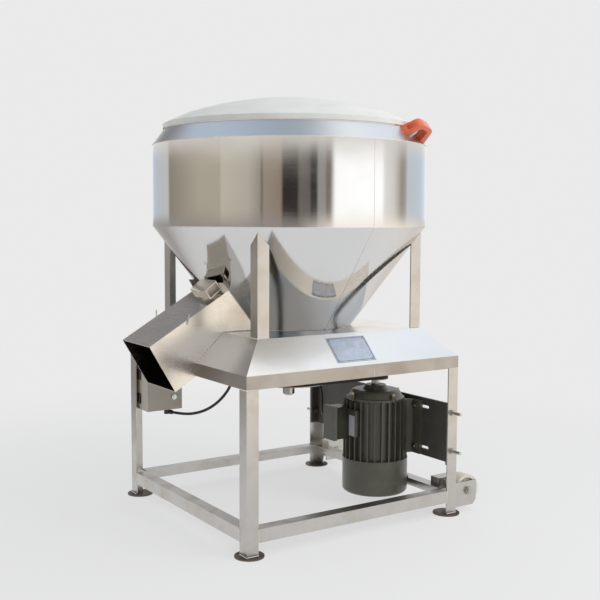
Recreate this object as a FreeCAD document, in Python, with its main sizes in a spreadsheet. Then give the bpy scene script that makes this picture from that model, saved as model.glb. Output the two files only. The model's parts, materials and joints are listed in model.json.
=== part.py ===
import FreeCAD, Part
import math
import os
import re

import Sketcher

# Free-standing vertical feed mixer: a conical tank with an auger, a square frame of
# angle steel, a belt drive with a vertical motor, a sloping chute with a slide gate.
# Millimetres, +Z up. Formulas are written about the tank's axis, and every sub-part
# is then shifted along X, so that the origin is below the middle of the whole mixer.

SIZES = {
    # the square frame
    "frame_half": (400, "half the width of the frame"),
    "angle_leg": (40, "width of the angle steel"),
    "angle_wall": (4, "thickness of the angle steel"),
    "foot_radius": (44, "foot disc"),
    "foot_thick": (4, "foot disc"),
    "foot_inset": (22, "foot disc's centre from the frame's faces"),
    "rail_top": (82, "top of the lower rails"),
    "ring_base": (487, "underside of the upper ring"),
    "ring_high": (40, "height of the upper ring"),
    # the sheet hood on the ring
    "hood_rise": (90, "height of the hood's slopes"),
    "hood_half": (310, "half the width of the hood's top"),
    "hood_sheet": (2, "sheet of the hood's slopes"),
    "hood_plate": (3, "sheet of the hood's top"),
    "weld_gap": (0.3, "gap left where curved sheets meet"),
    # the tank
    "drum_radius": (450, "outside of the drum"),
    "drum_high": (262, "height of the drum"),
    "tank_sheet": (2, "sheet of the tank"),
    "cone_foot_radius": (208, "outside of the cone where it passes the hood's top"),
    "cone_rise": (327, "height of the cone above the hood"),
    "floor_drop": (17, "tank's floor below the hood's top"),
    "floor_thick": (3, "tank's floor"),
    "cone_tail": (40, "clearance cut below the tank's floor"),
    "shoulder_run": (36, "shoulder, from the drum inwards"),
    "shoulder_high": (49, "height of the shoulder"),
    "mouth_lip": (10, "rim of the filling mouth"),
    "collar_high": (12, "collar of the filling mouth"),
    "post_short": (4, "posts below the drum, before the cone cuts them"),
    # the lid
    "lid_over": (2, "lid's rim outside the shoulder's top"),
    "lid_rim": (18, "edge above the lid's rim, from the shoulder's top"),
    "lid_border": (76, "sloping border of the lid"),
    "lid_slope": (34, "rise of the lid's border"),
    "lid_dome": (55.5, "rise of the lid's dome"),
    "lid_wall": (3, "wall of the lid"),
    # inside the tank
    "riser_radius": (100, "outside of the riser tube"),
    "riser_lift": (90, "riser tube above the tank's floor"),
    "riser_long": (440, "length of the riser tube"),
    "arm_thick": (6, "flat bar of the riser's arms"),
    "arm_high": (40, "flat bar of the riser's arms"),
    "upper_arm": (1040, "underside of the upper arms"),
    "lower_arm": (750, "underside of the lower arms"),
    "shaft_radius": (20, "main shaft"),
    "shaft_nose": (6, "turned end of the main shaft"),
    "shaft_step": (8, "turned end of the main shaft"),
    "shaft_tail": (49, "main shaft below its pulley"),
    "shaft_rise": (16, "main shaft above the riser tube"),
    "shaft_pass": (2, "play of the shaft in the tank's floor"),
    "beam_pass": (8, "play of the shaft in the cross beam"),
    "running_gap": (0.05, "radial play of a shaft in its bearing"),
    "auger_core": (30, "outside of the auger's tube"),
    "auger_radius": (91, "outside of the auger's flight"),
    "auger_pitch": (120, "pitch of the auger's flight"),
    "auger_lift": (30, "lower end of the flight above the floor"),
    "auger_high": (500, "height of the flight"),
    "flight_thick": (4, "sheet of the flight"),
    "flight_root": (4, "depth of the flight and blades in the auger's tube"),
    "auger_foot": (6, "auger's tube above the floor"),
    "sweep_reach": (178, "reach of the sweep arms"),
    "sweep_lift": (2, "sweep arms above the foot of the auger's tube"),
    "sweep_high": (12, "height of the sweep arms"),
    "scatter_reach": (165, "reach of the scatter blades"),
    "scatter_lift": (6, "scatter blades above the riser tube"),
    "core_over": (4, "auger's tube above the shaft"),
    "blade_thick": (5, "bar of the arms and blades"),
    # the chute and its gate
    "chute_reach": (557, "top edge of the chute's mouth from the tank's axis"),
    "mouth_drop": (29, "top edge of the chute's mouth below the hood's top"),
    "chute_slope": (30.5, "slope of the chute in degrees"),
    "chute_depth": (166, "depth of the chute across its slope"),
    "chute_half": (100, "half the width of the chute"),
    "chute_sheet": (2, "sheet of the chute"),
    "gate_thick": (3, "gate plate"),
    "gate_clear": (0.8, "play of the gate in its guides"),
    "gate_stand": (4.5, "gate plate from the cone's wall"),
    "gate_drop": (10, "lower edge of the gate below the hood's top, along the cone's wall"),
    "guide_wide": (12, "guide strips"),
    "guide_drop": (4, "lower end of the guide strips below the hood's top"),
    "guide_top": (148, "upper end of the guide strips"),
    "guide_thick": (3, "guide strips"),
    "gate_slot": (40, "slot in the chute's top below the pull"),
    "pull_half": (107, "half the length of the gate's pull"),
    "pull_foot": (173, "underside of the pull, along the cone's wall"),
    "pull_high": (32, "height of the pull"),
    "pull_deep": (48, "depth of the pull"),
    "pull_wall": (2.5, "wall of the pull"),
    "peg_radius": (3.5, "bag pegs"),
    "peg_long": (16, "bag pegs"),
    "peg_place": (140, "bag pegs, along the chute from its mouth"),
    # the beam and bearings of the main shaft
    "beam_half": (80, "half the width of the cross beam"),
    "beam_wall": (5, "sheet of the cross beam"),
    "beam_rise": (34, "top of the cross beam above the ring's underside"),
    "housing_flange": (14, "flange of a bearing housing"),
    "housing_half": (56, "half the width of a bearing housing"),
    "housing_corner": (14, "rounding of a bearing housing's flange"),
    "housing_radius": (43, "boss of a bearing housing"),
    "housing_high": (36, "height of a bearing housing"),
    "housing_draft": (6, "taper of the boss"),
    "housing_taper": (10, "height of the boss's taper"),
    "bolt_radius": (5, "shank of the bolts"),
    "bolt_place": (42, "bolts of a bearing housing from its axis"),
    "bolt_across": (17, "width across the flats of the bolt heads"),
    "bolt_head": (7, "height of the bolt heads"),
    "bolt_tail": (3, "shank beyond a nut"),
    # the belt drive
    "main_pulley_radius": (150, "main pulley"),
    "motor_pulley_radius": (43, "motor pulley"),
    "pulley_drop": (14, "main pulley below the lower bearing"),
    "pulley_half": (21, "half the width of the pulleys"),
    "groove_step": (19, "distance of the two grooves"),
    "belt_wide": (16.4, "belt at its back"),
    "belt_thick": (10.5, "belt"),
    "belt_taper": (19, "slope of the belt's flank in degrees"),
    "belt_clear": (0.4, "gap left between belt and groove"),
    "pulley_hub": (38, "hub of the main pulley"),
    "pulley_rim": (128, "inside of the main pulley's rim"),
    "pulley_web": (12, "web of the main pulley"),
    # the motor, from its underside up
    "motor_side": (124, "axis of the motor in front of the tank's axis"),
    "motor_height": (112, "axis of the motor above its feet"),
    "motor_long": (368, "motor from the fan cowl to the end bell's hub"),
    "bell_gap": (19, "motor pulley above the end bell's hub"),
    "cowl_high": (107, "height of the fan cowl"),
    "cowl_radius": (112, "fan cowl"),
    "cowl_round": (12, "rounded edge of the fan cowl"),
    "cowl_wall": (2, "fan cowl"),
    "cowl_slot_in": (34, "inner end of the slots in the fan cowl"),
    "cowl_slot_out": (84, "outer end of the slots in the fan cowl"),
    "cowl_slot_half": (6, "half the width of the slots in the fan cowl"),
    "cowl_room": (4, "lower rail's flange clear of the fan cowl"),
    "housing_long": (213, "motor housing above the cowl"),
    "fin_radius": (110, "tips of the cooling fins"),
    "core_radius": (93, "housing below the fins"),
    "fin_thick": (3.4, "cooling fin"),
    "fin_root": (2, "foot of the fins in the housing"),
    "fin_short": (3, "fins below the housing's top"),
    "shield_high": (12, "lower end shield"),
    "bell_high": (33, "height of the end bell"),
    "bell_rim": (6, "rim of the end bell outside the housing"),
    "bell_edge": (9, "height of the end bell's rim"),
    "bell_crown": (24, "crown of the end bell inside its rim"),
    "bell_round": (8, "rounding of the end bell"),
    "bell_hub_foot": (44, "foot of the end bell's hub"),
    "bell_hub": (34, "top of the end bell's hub"),
    "motor_shaft_radius": (14, "motor shaft"),
    "motor_shaft_lift": (21, "lower end of the motor shaft"),
    "shaft_bevel": (2, "bevel of the motor shaft, and its length above the pulley"),
    "fan_radius": (96, "fan"),
    "fan_lift": (33, "underside of the fan"),
    "fan_high": (48, "height of the fan"),
    "fan_hub": (34, "foot of the fan's hub"),
    "fan_neck": (30, "top of the fan's hub"),
    "fan_disc": (4, "disc of the fan"),
    "fan_blade": (3, "blade of the fan"),
    "fan_root": (24, "inner edge of the blades, in the hub"),
    "foot_lift": (26, "lower end of the motor's feet above the cowl"),
    "foot_short": (2, "upper end of the motor's feet below the end bell"),
    "foot_hole_inset": (25, "lower foot bolts above the foot's end"),
    "foot_hole_step": (140, "upper foot bolts above the lower ones"),
    "foot_bolt_half": (95, "foot bolts from the motor's axis"),
    "foot_half": (118, "outer edge of the feet"),
    "foot_wall": (12, "thickness of the feet"),
    "foot_pad": (52, "width of a foot"),
    "foot_web": (14, "web between foot and housing"),
    "box_reach": (171, "outer face of the terminal box"),
    "box_seat": (112, "inner face of the terminal box"),
    "box_lift": (55, "terminal box above the end of the feet"),
    "box_high": (115, "height of the terminal box"),
    "box_half": (57, "half the width of the terminal box"),
    "box_offset": (10, "terminal box beside the motor's axis"),
    "box_lid": (12, "lid of the terminal box"),
    "box_step": (3, "lid's overhang"),
    "tie_boss": (8, "bosses of the end bell's screws"),
    "tie_place": (97, "screws of the end bell from the axis"),
    "tie_high": (20, "height of the bosses"),
    # the motor's carrier plate
    "plate_thick": (8, "motor plate"),
    "plate_under": (3, "motor plate below the feet"),
    "plate_over": (10, "motor plate above the feet"),
    "plate_flange": (34, "bent ends of the motor plate"),
    "slot_half": (50, "half the travel of a foot bolt in its slot"),
    "plate_bolt_rise": (46, "lower bolts through the legs, above the plate's edge"),
    "plate_bolt_drop": (25, "upper bolts through the legs, below the plate's edge"),
    "plate_bolt_inset": (22.5, "bolts through the legs from the frame's face"),
    "plate_bolt_out": (40, "bolts standing out of the legs"),
    # the control box
    "panel_inset": (16, "left face of the control box from the frame's"),
    "panel_wide": (130, "width of the control box"),
    "panel_deep": (44, "depth of the control box"),
    "panel_door_deep": (56, "depth of its door"),
    "panel_base": (306, "underside of the control box"),
    "panel_high": (161, "height of the control box"),
    "panel_sheet": (1.5, "sheet of the control box"),
    "door_gap": (0.6, "gap round the door"),
    "hinge_inset": (39, "hinges from the ends of the door"),
    "hinge_half": (17, "half the height of a hinge"),
    "hinge_radius": (3.5, "barrel of a hinge"),
    "hinge_leaf": (26, "leaf of a hinge"),
    "lock_inset": (32, "axis of the lock from the door's edge"),
    "lock_lift": (44, "axis of the lock above the box's underside"),
    "lock_radius": (9, "head of the lock"),
    "lock_barrel": (7, "barrel of the lock"),
    "lock_head": (6, "height of the lock's head"),
    "lock_long": (14, "length of the barrel inside the door"),
    "lock_bit": (3, "bar of the lock's key"),
    "lock_tongue": (24, "reach of the lock's tongue"),
    "lock_tongue_half": (5, "half the width of the tongue"),
    "rail_wide": (70, "contactor's mounting rail"),
    "rail_thick": (8, "contactor's mounting rail"),
    "unit_left": (22, "mounting rail from the box's side"),
    "unit_low": (40, "mounting rail above the box's underside"),
    "unit_high": (91, "height of the mounting rail"),
    "unit_inset": (10, "contactor inside its rail's outline"),
    "unit_deep": (45, "depth of the contactor"),
    "unit_short": (8, "contactor above the foot of its rail"),
    # the cable and its glands
    "cable_radius": (5, "motor cable"),
    "gland_radius": (11, "cable glands"),
    "gland_inset": (36, "gland from the control box's edge"),
    "gland_front": (7, "gland in front of the box's joint"),
    "gland_nut": (8, "nut of a gland"),
    "gland_drop": (24, "length of the gland under the control box"),
    "cable_end": (38, "end of the cable in front of the tank's axis"),
    "cable_end_z": (290, "end of the cable at the terminal box"),
    # the transport wheels
    "wheel_radius": (51.5, "tread of the wheels"),
    "wheel_out": (54, "axle of the wheels from the frame's face"),
    "wheel_z": (70, "axle of the wheels"),
    "wheel_wide": (45, "width of the wheels"),
    "wheel_inset": (30, "middle plane of the wheels from the frame's side"),
    "wheel_clear": (2, "play of the wheels between the cheeks"),
    "wheel_rim": (10, "rim beside the dish of a wheel"),
    "wheel_hub": (18, "hub of a wheel"),
    "wheel_dish": (8, "depth of the dish"),
    "cheek_wall": (5, "cheeks of the wheel brackets"),
    "cheek_out": (91, "outer edge of the cheeks from the frame's face"),
    "cheek_base": (20, "lower edge of the cheeks"),
    "cheek_top": (102, "upper edge of the cheeks"),
    "cheek_cut": (15, "bevel of the cheeks"),
    "axle_radius": (8, "axle bolts"),
    "axle_across": (24, "width across the flats of the axle's nuts"),
    "axle_nut": (8, "height of the axle's nuts"),
    "stub_wide": (42, "tube that carries a bracket on its rail"),
    "stub_high": (26, "tube that carries a bracket on its rail"),
    "stub_long": (20, "tube on the rail, inside the frame's face"),
    # the information plate and the handles
    "badge_wide": (145, "information plate"),
    "badge_high": (95, "information plate"),
    "badge_thick": (1.2, "information plate"),
    "badge_side": (3, "middle of the information plate left of the tank's axis"),
    "badge_drop": (45, "middle of the information plate below the hood's top"),
    "handle_angle": (52, "handles from the +X side, in degrees"),
    "handle_half": (62, "half the length of a handle"),
    "handle_high": (63, "height of a handle"),
    "handle_wide": (46, "width of a handle"),
    "handle_wall": (18, "bar of a handle"),
    "handle_foot": (22, "foot of a handle"),
    "handle_round": (28, "outer rounding of a handle"),
    "overshoot": (1, "how far a cut runs past the face it opens"),
}

# Sizes that follow from those on the sheet, each as a formula.
DERIVED = {
    "hood_top": "ring_base + ring_high + hood_rise",
    "drum_base": "hood_top + cone_rise",
    "drum_top": "drum_base + drum_high",
    "floor_top": "hood_top - floor_drop",
    "shoulder_radius": "drum_radius - shoulder_run",
    "shoulder_top": "drum_top + shoulder_high",
    "mouth_radius": "shoulder_radius - mouth_lip",
    "post_top": "drum_base - post_short",
    "lid_radius": "shoulder_radius + lid_over",
    "lid_rim_top": "shoulder_top + lid_rim",
    "lid_knee_radius": "lid_radius - lid_border",
    "lid_knee_top": "lid_rim_top + lid_slope",
    "lid_top": "lid_knee_top + lid_dome",
    "riser_base": "floor_top + riser_lift",
    "riser_top": "riser_base + riser_long",
    "auger_base": "floor_top + auger_lift",
    "shaft_base": "belt_middle - pulley_half - shaft_tail",
    "shaft_top": "riser_top + shaft_rise",
    "mouth_top_z": "hood_top - mouth_drop",
    "beam_top": "ring_base + beam_rise",
    "belt_middle": "beam_top - beam_wall - housing_high - pulley_drop - pulley_half",
    "motor_x": "frame_half - angle_wall - plate_thick - motor_height",
    "motor_y": "-motor_side",
    "motor_base": "belt_middle - pulley_half - bell_gap - motor_long",
    "cowl_top": "motor_base + cowl_high",
    "fin_top": "cowl_top + housing_long",
    "bell_top": "fin_top + bell_high",
    "bell_hub_top": "motor_base + motor_long",
    "motor_shaft_base": "motor_base + motor_shaft_lift",
    "motor_shaft_top": "belt_middle + pulley_half + shaft_bevel",
    "fan_base": "motor_base + fan_lift",
    "fan_top": "fan_base + fan_high",
    "foot_base": "cowl_top + foot_lift",
    "foot_top": "fin_top - foot_short",
    "foot_hole_low": "foot_base + foot_hole_inset",
    "foot_hole_high": "foot_hole_low + foot_hole_step",
    "box_base": "foot_base + box_lift",
    "box_top": "box_base + box_high",
    "plate_base": "foot_base - plate_under",
    "plate_top": "foot_top + plate_over",
    "plate_bolt_low": "plate_base + plate_bolt_rise",
    "plate_bolt_high": "plate_top - plate_bolt_drop",
    "panel_left": "panel_inset - frame_half",
    "panel_right": "panel_left + panel_wide",
    "panel_back": "frame_half - angle_wall",
    "panel_seam": "panel_back - panel_deep",
    "panel_front": "panel_seam - panel_door_deep",
    "panel_top": "panel_base + panel_high",
    "hinge_low": "panel_base + hinge_inset",
    "hinge_high": "panel_top - hinge_inset",
    "lock_x": "panel_right - lock_inset",
    "lock_z": "panel_base + lock_lift",
    "panel_gland_x": "panel_right - gland_inset",
    "panel_gland_y": "panel_seam - gland_front",
    "cable_end_y": "-cable_end",
    "wheel_x": "frame_half + wheel_out",
    "wheel_side": "frame_half - wheel_inset",
    "cheek_reach": "frame_half + cheek_out",
    "badge_z": "hood_top - badge_drop",
}

# Counts that shape a pattern, not a length.
FIN_COUNT = 28
FAN_BLADES = 7
COWL_SLOTS = 12
PULLEY_HOLES = 5
ARM_COUNT = 3
ENDS = {"front": -1, "rear": 1}

os.makedirs("parts", exist_ok=True)
doc = FreeCAD.newDocument("feed_mixer")
sheet = doc.addObject("Spreadsheet::Sheet", "sizes")
for row, (alias, (number, meaning)) in enumerate(SIZES.items(), start=1):
    sheet.set("A%d" % row, alias)
    sheet.set("B%d" % row, str(number))
    sheet.set("C%d" % row, meaning)
    sheet.setAlias("B%d" % row, alias)
probe = doc.addObject("App::FeaturePython", "probe")
probe.addProperty("App::PropertyFloat", "Result")
doc.recompute()

# Formulas that several sub-parts share.
SHIFT = "(chute_reach - wheel_x - wheel_radius) / 2"
RING_TOP = "(ring_base + ring_high)"
CONE_RUN = "(drum_radius - cone_foot_radius)"
CONE_RISE = "(drum_base - hood_top)"
CONE_WALL = "(tank_sheet * sqrt(%s^2 + %s^2) / %s)" % (CONE_RUN, CONE_RISE, CONE_RISE)
CONE_GAP = "(weld_gap * sqrt(%s^2 + %s^2) / %s)" % (CONE_RUN, CONE_RISE, CONE_RISE)
SHOULDER_RUN = "(drum_radius - shoulder_radius)"
SHOULDER_RISE = "(shoulder_top - drum_top)"
HOOD_RUN = "(frame_half - hood_half)"
HOOD_RISE = "(hood_top - %s)" % RING_TOP
HOOD_WALL = "(hood_sheet * sqrt(%s^2 + %s^2) / %s)" % (HOOD_RUN, HOOD_RISE, HOOD_RISE)
FLOOR_BASE = "(floor_top - floor_thick)"
BEAM_UNDER = "(beam_top - beam_wall)"
BELT_LOW = "(belt_middle - pulley_half)"
BELT_HIGH = "(belt_middle + pulley_half)"
BOLT_HOLE = "(bolt_radius + weld_gap)"
PLATE_X = "(motor_x + motor_height)"
DOOR_BACK = "(panel_seam - door_gap)"

subparts = []


def refer(match):
    word = match.group()
    if word in DERIVED:
        return "(%s)" % on_sheet(DERIVED[word])
    return "sizes." + word if word in SIZES else word


def on_sheet(formula):
    """Point the size names in a formula at the sheet, derived ones through their own formulas."""
    return re.sub(r"[a-z][a-z_]+", refer, str(formula))


def number(formula):
    """The number that a formula comes to, for a first guess or a made shape."""
    probe.setExpression("Result", on_sheet(formula))
    probe.recompute()
    return probe.Result


def minus(formula):
    return "(-(%s))" % formula


def cone_at(z):
    """Outer radius of the cone at a height."""
    return "(cone_foot_radius + (%s - hood_top) * %s / %s)" % (z, CONE_RUN, CONE_RISE)


def hood_at(z):
    """Half the width of the hood at a height."""
    return "(frame_half - (%s - %s) * %s / %s)" % (z, RING_TOP, HOOD_RUN, HOOD_RISE)


def chute_at(x, deep):
    """Height of the chute's line that lies this deep below its top."""
    line = "(mouth_top_z + (%s + chute_reach) * tan(chute_slope) - (%s) / cos(chute_slope))"
    return line % (x, deep)


def new_body(name, x="0", y="0", z="0"):
    body = doc.addObject("PartDesign::Body", name)
    body.Label = name
    body.setExpression("Placement.Base.x", on_sheet("%s + %s" % (SHIFT, x)))
    body.setExpression("Placement.Base.y", on_sheet(y))
    body.setExpression("Placement.Base.z", on_sheet(z))
    subparts.append(body)
    return body


def turn_about(body, axis, angle):
    """Turn a body about an axis through its own origin."""
    place = body.Placement
    place.Rotation = FreeCAD.Rotation(FreeCAD.Vector(*axis), 30)
    body.Placement = place
    body.setExpression("Placement.Rotation.Angle", on_sheet(angle))


def origin_part(body, role):
    for feature in body.Origin.OriginFeatures:
        if feature.Role == role:
            return feature


def new_sketch(body, role, offset="0"):
    sketch = body.newObject("Sketcher::SketchObject", body.Name + "_sketch")
    sketch.AttachmentSupport = [(origin_part(body, role), "")]
    sketch.MapMode = "FlatFace"
    sketch.setExpression("AttachmentOffset.Base.z", on_sheet(offset))
    return sketch


def pin_point(sketch, edge, end, x, y, rules, formulas):
    for kind, formula in (("DistanceX", x), ("DistanceY", y)):
        rules.append(Sketcher.Constraint(kind, -1, 1, edge, end, number(formula)))
        formulas.append(formula)


def arc_between(start, end, middle):
    """An arc from start to end about a centre on the line x = middle."""
    gain = (start.x - middle) ** 2 + start.y ** 2 - (end.x - middle) ** 2 - end.y ** 2
    height = gain / (2 * (start.y - end.y))
    centre = FreeCAD.Vector(middle, height, 0)
    first = math.atan2(start.y - height, start.x - middle)
    last = math.atan2(end.y - height, end.x - middle)
    circle = Part.Circle(centre, FreeCAD.Vector(0, 0, 1), (start - centre).Length)
    forward = (last - first) % (2 * math.pi) <= math.pi + 1e-6
    if forward:
        return Part.ArcOfCircle(circle, first, last), (1, 2)
    return Part.ArcOfCircle(circle, last, first), (2, 1)


def outline(sketch, points, arcs=None):
    """A closed outline. arcs gives, for an edge's number, the x of its arc's centre."""
    arcs = arcs or {}
    base = sketch.GeometryCount
    spots = [FreeCAD.Vector(number(x), number(y), 0) for x, y in points]
    ends = []
    edges = []
    for index, start in enumerate(spots):
        end = spots[(index + 1) % len(spots)]
        if index in arcs:
            edge, order = arc_between(start, end, number(arcs[index]))
        else:
            edge, order = Part.LineSegment(start, end), (1, 2)
        edges.append(edge)
        ends.append(order)
    sketch.addGeometry(edges, False)
    joins = []
    for index in range(len(spots)):
        after = (index + 1) % len(spots)
        joins.append(Sketcher.Constraint(
            "Coincident", base + index, ends[index][1], base + after, ends[after][0]))
    sketch.addConstraint(joins)
    rules = []
    formulas = []
    for index, (x, y) in enumerate(points):
        pin_point(sketch, base + index, ends[index][0], x, y, rules, formulas)
    for index, centre_x in arcs.items():
        rules.append(Sketcher.Constraint("DistanceX", -1, 1, base + index, 3, number(centre_x)))
        formulas.append(centre_x)
    bind(sketch, rules, formulas)


def ring(sketch, x, y, radius):
    """A circle."""
    base = sketch.GeometryCount
    centre = FreeCAD.Vector(number(x), number(y), 0)
    sketch.addGeometry(Part.Circle(centre, FreeCAD.Vector(0, 0, 1), number(radius)), False)
    rules = []
    formulas = []
    pin_point(sketch, base, 3, x, y, rules, formulas)
    rules.append(Sketcher.Constraint("Radius", base, number(radius)))
    formulas.append(radius)
    bind(sketch, rules, formulas)


def bind(sketch, rules, formulas):
    first = sketch.ConstraintCount
    sketch.addConstraint(rules)
    for index, formula in enumerate(formulas):
        sketch.setExpression("Constraints[%d]" % (first + index), on_sheet(formula))


def draw(sketch, shapes):
    """Each shape is a circle (x, y, radius), an outline, or (outline, arcs)."""
    for shape in shapes:
        if isinstance(shape, list):
            outline(sketch, shape)
        elif isinstance(shape[0], list):
            outline(sketch, shape[0], shape[1])
        else:
            ring(sketch, *shape)


ROLES = {"x": ("YZ_Plane", 1), "y": ("XZ_Plane", -1), "z": ("XY_Plane", 1)}


def extrude(body, along, low, high, shapes, cut=False):
    """Pad or pocket outlines from low to high along a body's axis."""
    role, side = ROLES[along]
    if side < 0:
        low, high = minus(high), minus(low)
    sketch = new_sketch(body, role, high if cut else low)
    draw(sketch, shapes)
    kind = "Pocket" if cut else "Pad"
    feature = body.newObject("PartDesign::" + kind, body.Name + "_" + kind)
    feature.Profile = sketch
    feature.setExpression("Length", on_sheet("(%s) - (%s)" % (high, low)))
    return feature


def revolve(body, shapes, cut=False):
    """Turn outlines in the XZ plane about the body's Z axis."""
    sketch = new_sketch(body, "XZ_Plane")
    draw(sketch, shapes)
    kind = "Groove" if cut else "Revolution"
    feature = body.newObject("PartDesign::" + kind, body.Name + "_" + kind)
    feature.Profile = sketch
    feature.ReferenceAxis = (sketch, ["V_Axis"])
    feature.Angle = 360
    return feature


def polar(body, feature, count):
    """Repeat a feature round the body's Z axis."""
    pattern = body.newObject("PartDesign::PolarPattern", body.Name + "_pattern")
    pattern.Originals = [feature]
    pattern.Axis = (origin_part(body, "Z_Axis"), [""])
    pattern.Angle = 360
    pattern.Occurrences = count
    body.Tip = pattern
    return pattern


def rect(x0, y0, x1, y1):
    return [(x0, y0), (x1, y0), (x1, y1), (x0, y1)]


def mirrored(side, low, high):
    """The stretch from low to high on the + side, or its mirror image."""
    return (low, high) if side > 0 else (minus(high), minus(low))


def hexagon(x, y, across):
    points = []
    for corner in range(6):
        turn = 60 * corner
        points.append((
            "%s + %s / sqrt(3) * cos(%d)" % (x, across, turn),
            "%s + %s / sqrt(3) * sin(%d)" % (y, across, turn)))
    return points


def bolt(body, along, x, y, low, high, head_low, nut_high):
    """A bolt along an axis, with a hexagon below head_low and one above nut_high."""
    head = hexagon(x, y, "bolt_across")
    extrude(body, along, "%s - bolt_head" % head_low, head_low, [head])
    extrude(body, along, nut_high, "%s + bolt_head" % nut_high, [head])
    extrude(body, along, low, high, [(x, y, "bolt_radius")])


def angle_section(side_x, side_y):
    """An angle with its corner at a corner of the frame, in plan."""
    outer = "frame_half"
    inner = "(frame_half - angle_wall)"
    edge = "(frame_half - angle_leg)"
    points = [(outer, outer), (edge, outer), (edge, inner), (inner, inner), (inner, edge), (outer, edge)]
    return [("%s * %d" % (x, side_x), "%s * %d" % (y, side_y)) for x, y in points]


CORNERS = {
    "front_left": (-1, -1), "front_right": (1, -1), "rear_right": (1, 1), "rear_left": (-1, 1)}
SIDES = ["front", "right", "rear", "left"]


def make_legs():
    for name, (side_x, side_y) in CORNERS.items():
        body = new_body("leg_" + name)
        extrude(body, "z", "foot_thick", "ring_base", [angle_section(side_x, side_y)])
        if side_x > 0:
            bore_plate_bolts(body, side_y)


def bore_plate_bolts(body, side):
    """Holes for the bolts that hold the motor plate to a right-hand leg."""
    low, high = mirrored(side, "frame_half - 3 * plate_thick", "frame_half + overshoot")
    x = "(frame_half - plate_bolt_inset)"
    holes = [(x, "plate_bolt_low", BOLT_HOLE), (x, "plate_bolt_high", BOLT_HOLE)]
    extrude(body, "y", low, high, holes, cut=True)


def make_feet():
    body = new_body("foot_plates")
    place = "(frame_half - foot_inset)"
    discs = []
    for side_x, side_y in CORNERS.values():
        discs.append(("%s * %d" % (place, side_x), "%s * %d" % (place, side_y), "foot_radius"))
    extrude(body, "z", "0", "foot_thick", discs)


def make_lower_rails():
    """Four angles between the legs, web outside and flange on top, cut away for the fan cowl."""
    edge = "(frame_half - angle_leg)"
    for index, side in enumerate(SIDES):
        body = new_body("lower_rail_" + side)
        turn_about(body, (0, 0, 1), 90 * index)
        profile = [
            ("-frame_half", "rail_top - angle_leg"),
            ("-frame_half + angle_wall", "rail_top - angle_leg"),
            ("-frame_half + angle_wall", "rail_top - angle_wall"),
            (minus(edge), "rail_top - angle_wall"),
            (minus(edge), "rail_top"),
            ("-frame_half", "rail_top")]
        extrude(body, "x", minus(edge), edge, [profile])
        if side == "right":
            room = [("motor_y", minus("motor_x"), "cowl_radius + cowl_room")]
            extrude(body, "z", "rail_top - 2 * angle_wall", "rail_top + overshoot", room, cut=True)


def make_ring():
    """Four mitred angles on top of the legs, flange inwards at the bottom."""
    edge = "(frame_half - angle_leg)"
    inner = "(frame_half - angle_wall)"
    for index, side in enumerate(SIDES):
        body = new_body("ring_" + side)
        turn_about(body, (0, 0, 1), 90 * index)
        flange = [
            ("-frame_half", "-frame_half"), ("frame_half", "-frame_half"),
            (edge, minus(edge)), (minus(edge), minus(edge))]
        web = [
            ("-frame_half", "-frame_half"), ("frame_half", "-frame_half"),
            (inner, minus(inner)), (minus(inner), minus(inner))]
        extrude(body, "z", "ring_base", "ring_base + angle_wall", [flange])
        extrude(body, "z", "ring_base", RING_TOP, [web])
        if side == "left":
            half = "(chute_half + weld_gap)"
            gap = rect(minus(half), "-frame_half - overshoot", half, minus(edge) + " + overshoot")
            extrude(body, "z", "ring_base - overshoot", RING_TOP + " + overshoot", [gap], cut=True)


def loft(body, kind, low, low_half, high, high_half):
    sketches = []
    for height, half in ((low, low_half), (high, high_half)):
        sketch = new_sketch(body, "XY_Plane", height)
        outline(sketch, rect(minus(half), minus(half), half, half))
        sketches.append(sketch)
    feature = body.newObject("PartDesign::" + kind, body.Name + "_" + kind)
    feature.Profile = sketches[0]
    feature.Sections = [sketches[1]]
    feature.Ruled = True


def make_hood():
    body = new_body("base_hood")
    loft(body, "AdditiveLoft", RING_TOP, "frame_half", "hood_top", "hood_half")
    under = "(hood_top - hood_plate)"
    inner_low = "(frame_half - %s)" % HOOD_WALL
    inner_high = "(%s - %s)" % (hood_at(under), HOOD_WALL)
    loft(body, "SubtractiveLoft", RING_TOP, inner_low, under, inner_high)
    hole = [("0", "0", "cone_foot_radius + weld_gap * 2")]
    extrude(body, "z", "hood_top - 2 * hood_plate", "hood_top + overshoot", hole, cut=True)
    half = "(chute_half + weld_gap)"
    far = "(-frame_half - chute_depth)"
    near = "(-cone_foot_radius + cone_tail)"
    deep = "chute_depth + weld_gap"
    notch = [
        (far, chute_at(far, deep)), (near, chute_at(near, deep)),
        (near, "hood_top + chute_half"), (far, "hood_top + chute_half")]
    extrude(body, "y", minus(half), half, [notch], cut=True)


def cone_void(body):
    """Take away what would lie inside the cone's outer face."""
    low = "(floor_top - cone_tail)"
    shape = [
        ("0", low), ("%s + %s" % (cone_at(low), CONE_GAP), low),
        ("%s + %s" % (cone_at("drum_base"), CONE_GAP), "drum_base"), ("0", "drum_base")]
    revolve(body, [shape], cut=True)


def make_posts():
    """Four angles that stand on the hood and carry the cone."""
    body = new_body("support_posts")
    sections = []
    outer = "hood_half"
    inner = "(hood_half - angle_wall)"
    edge = "(hood_half - angle_leg)"
    shape = [(outer, outer), (edge, outer), (edge, inner), (inner, inner), (inner, edge), (outer, edge)]
    for side_x, side_y in CORNERS.values():
        sections.append([("%s * %d" % (x, side_x), "%s * %d" % (y, side_y)) for x, y in shape])
    extrude(body, "z", "hood_top", "post_top", sections)
    cone_void(body)


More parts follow.
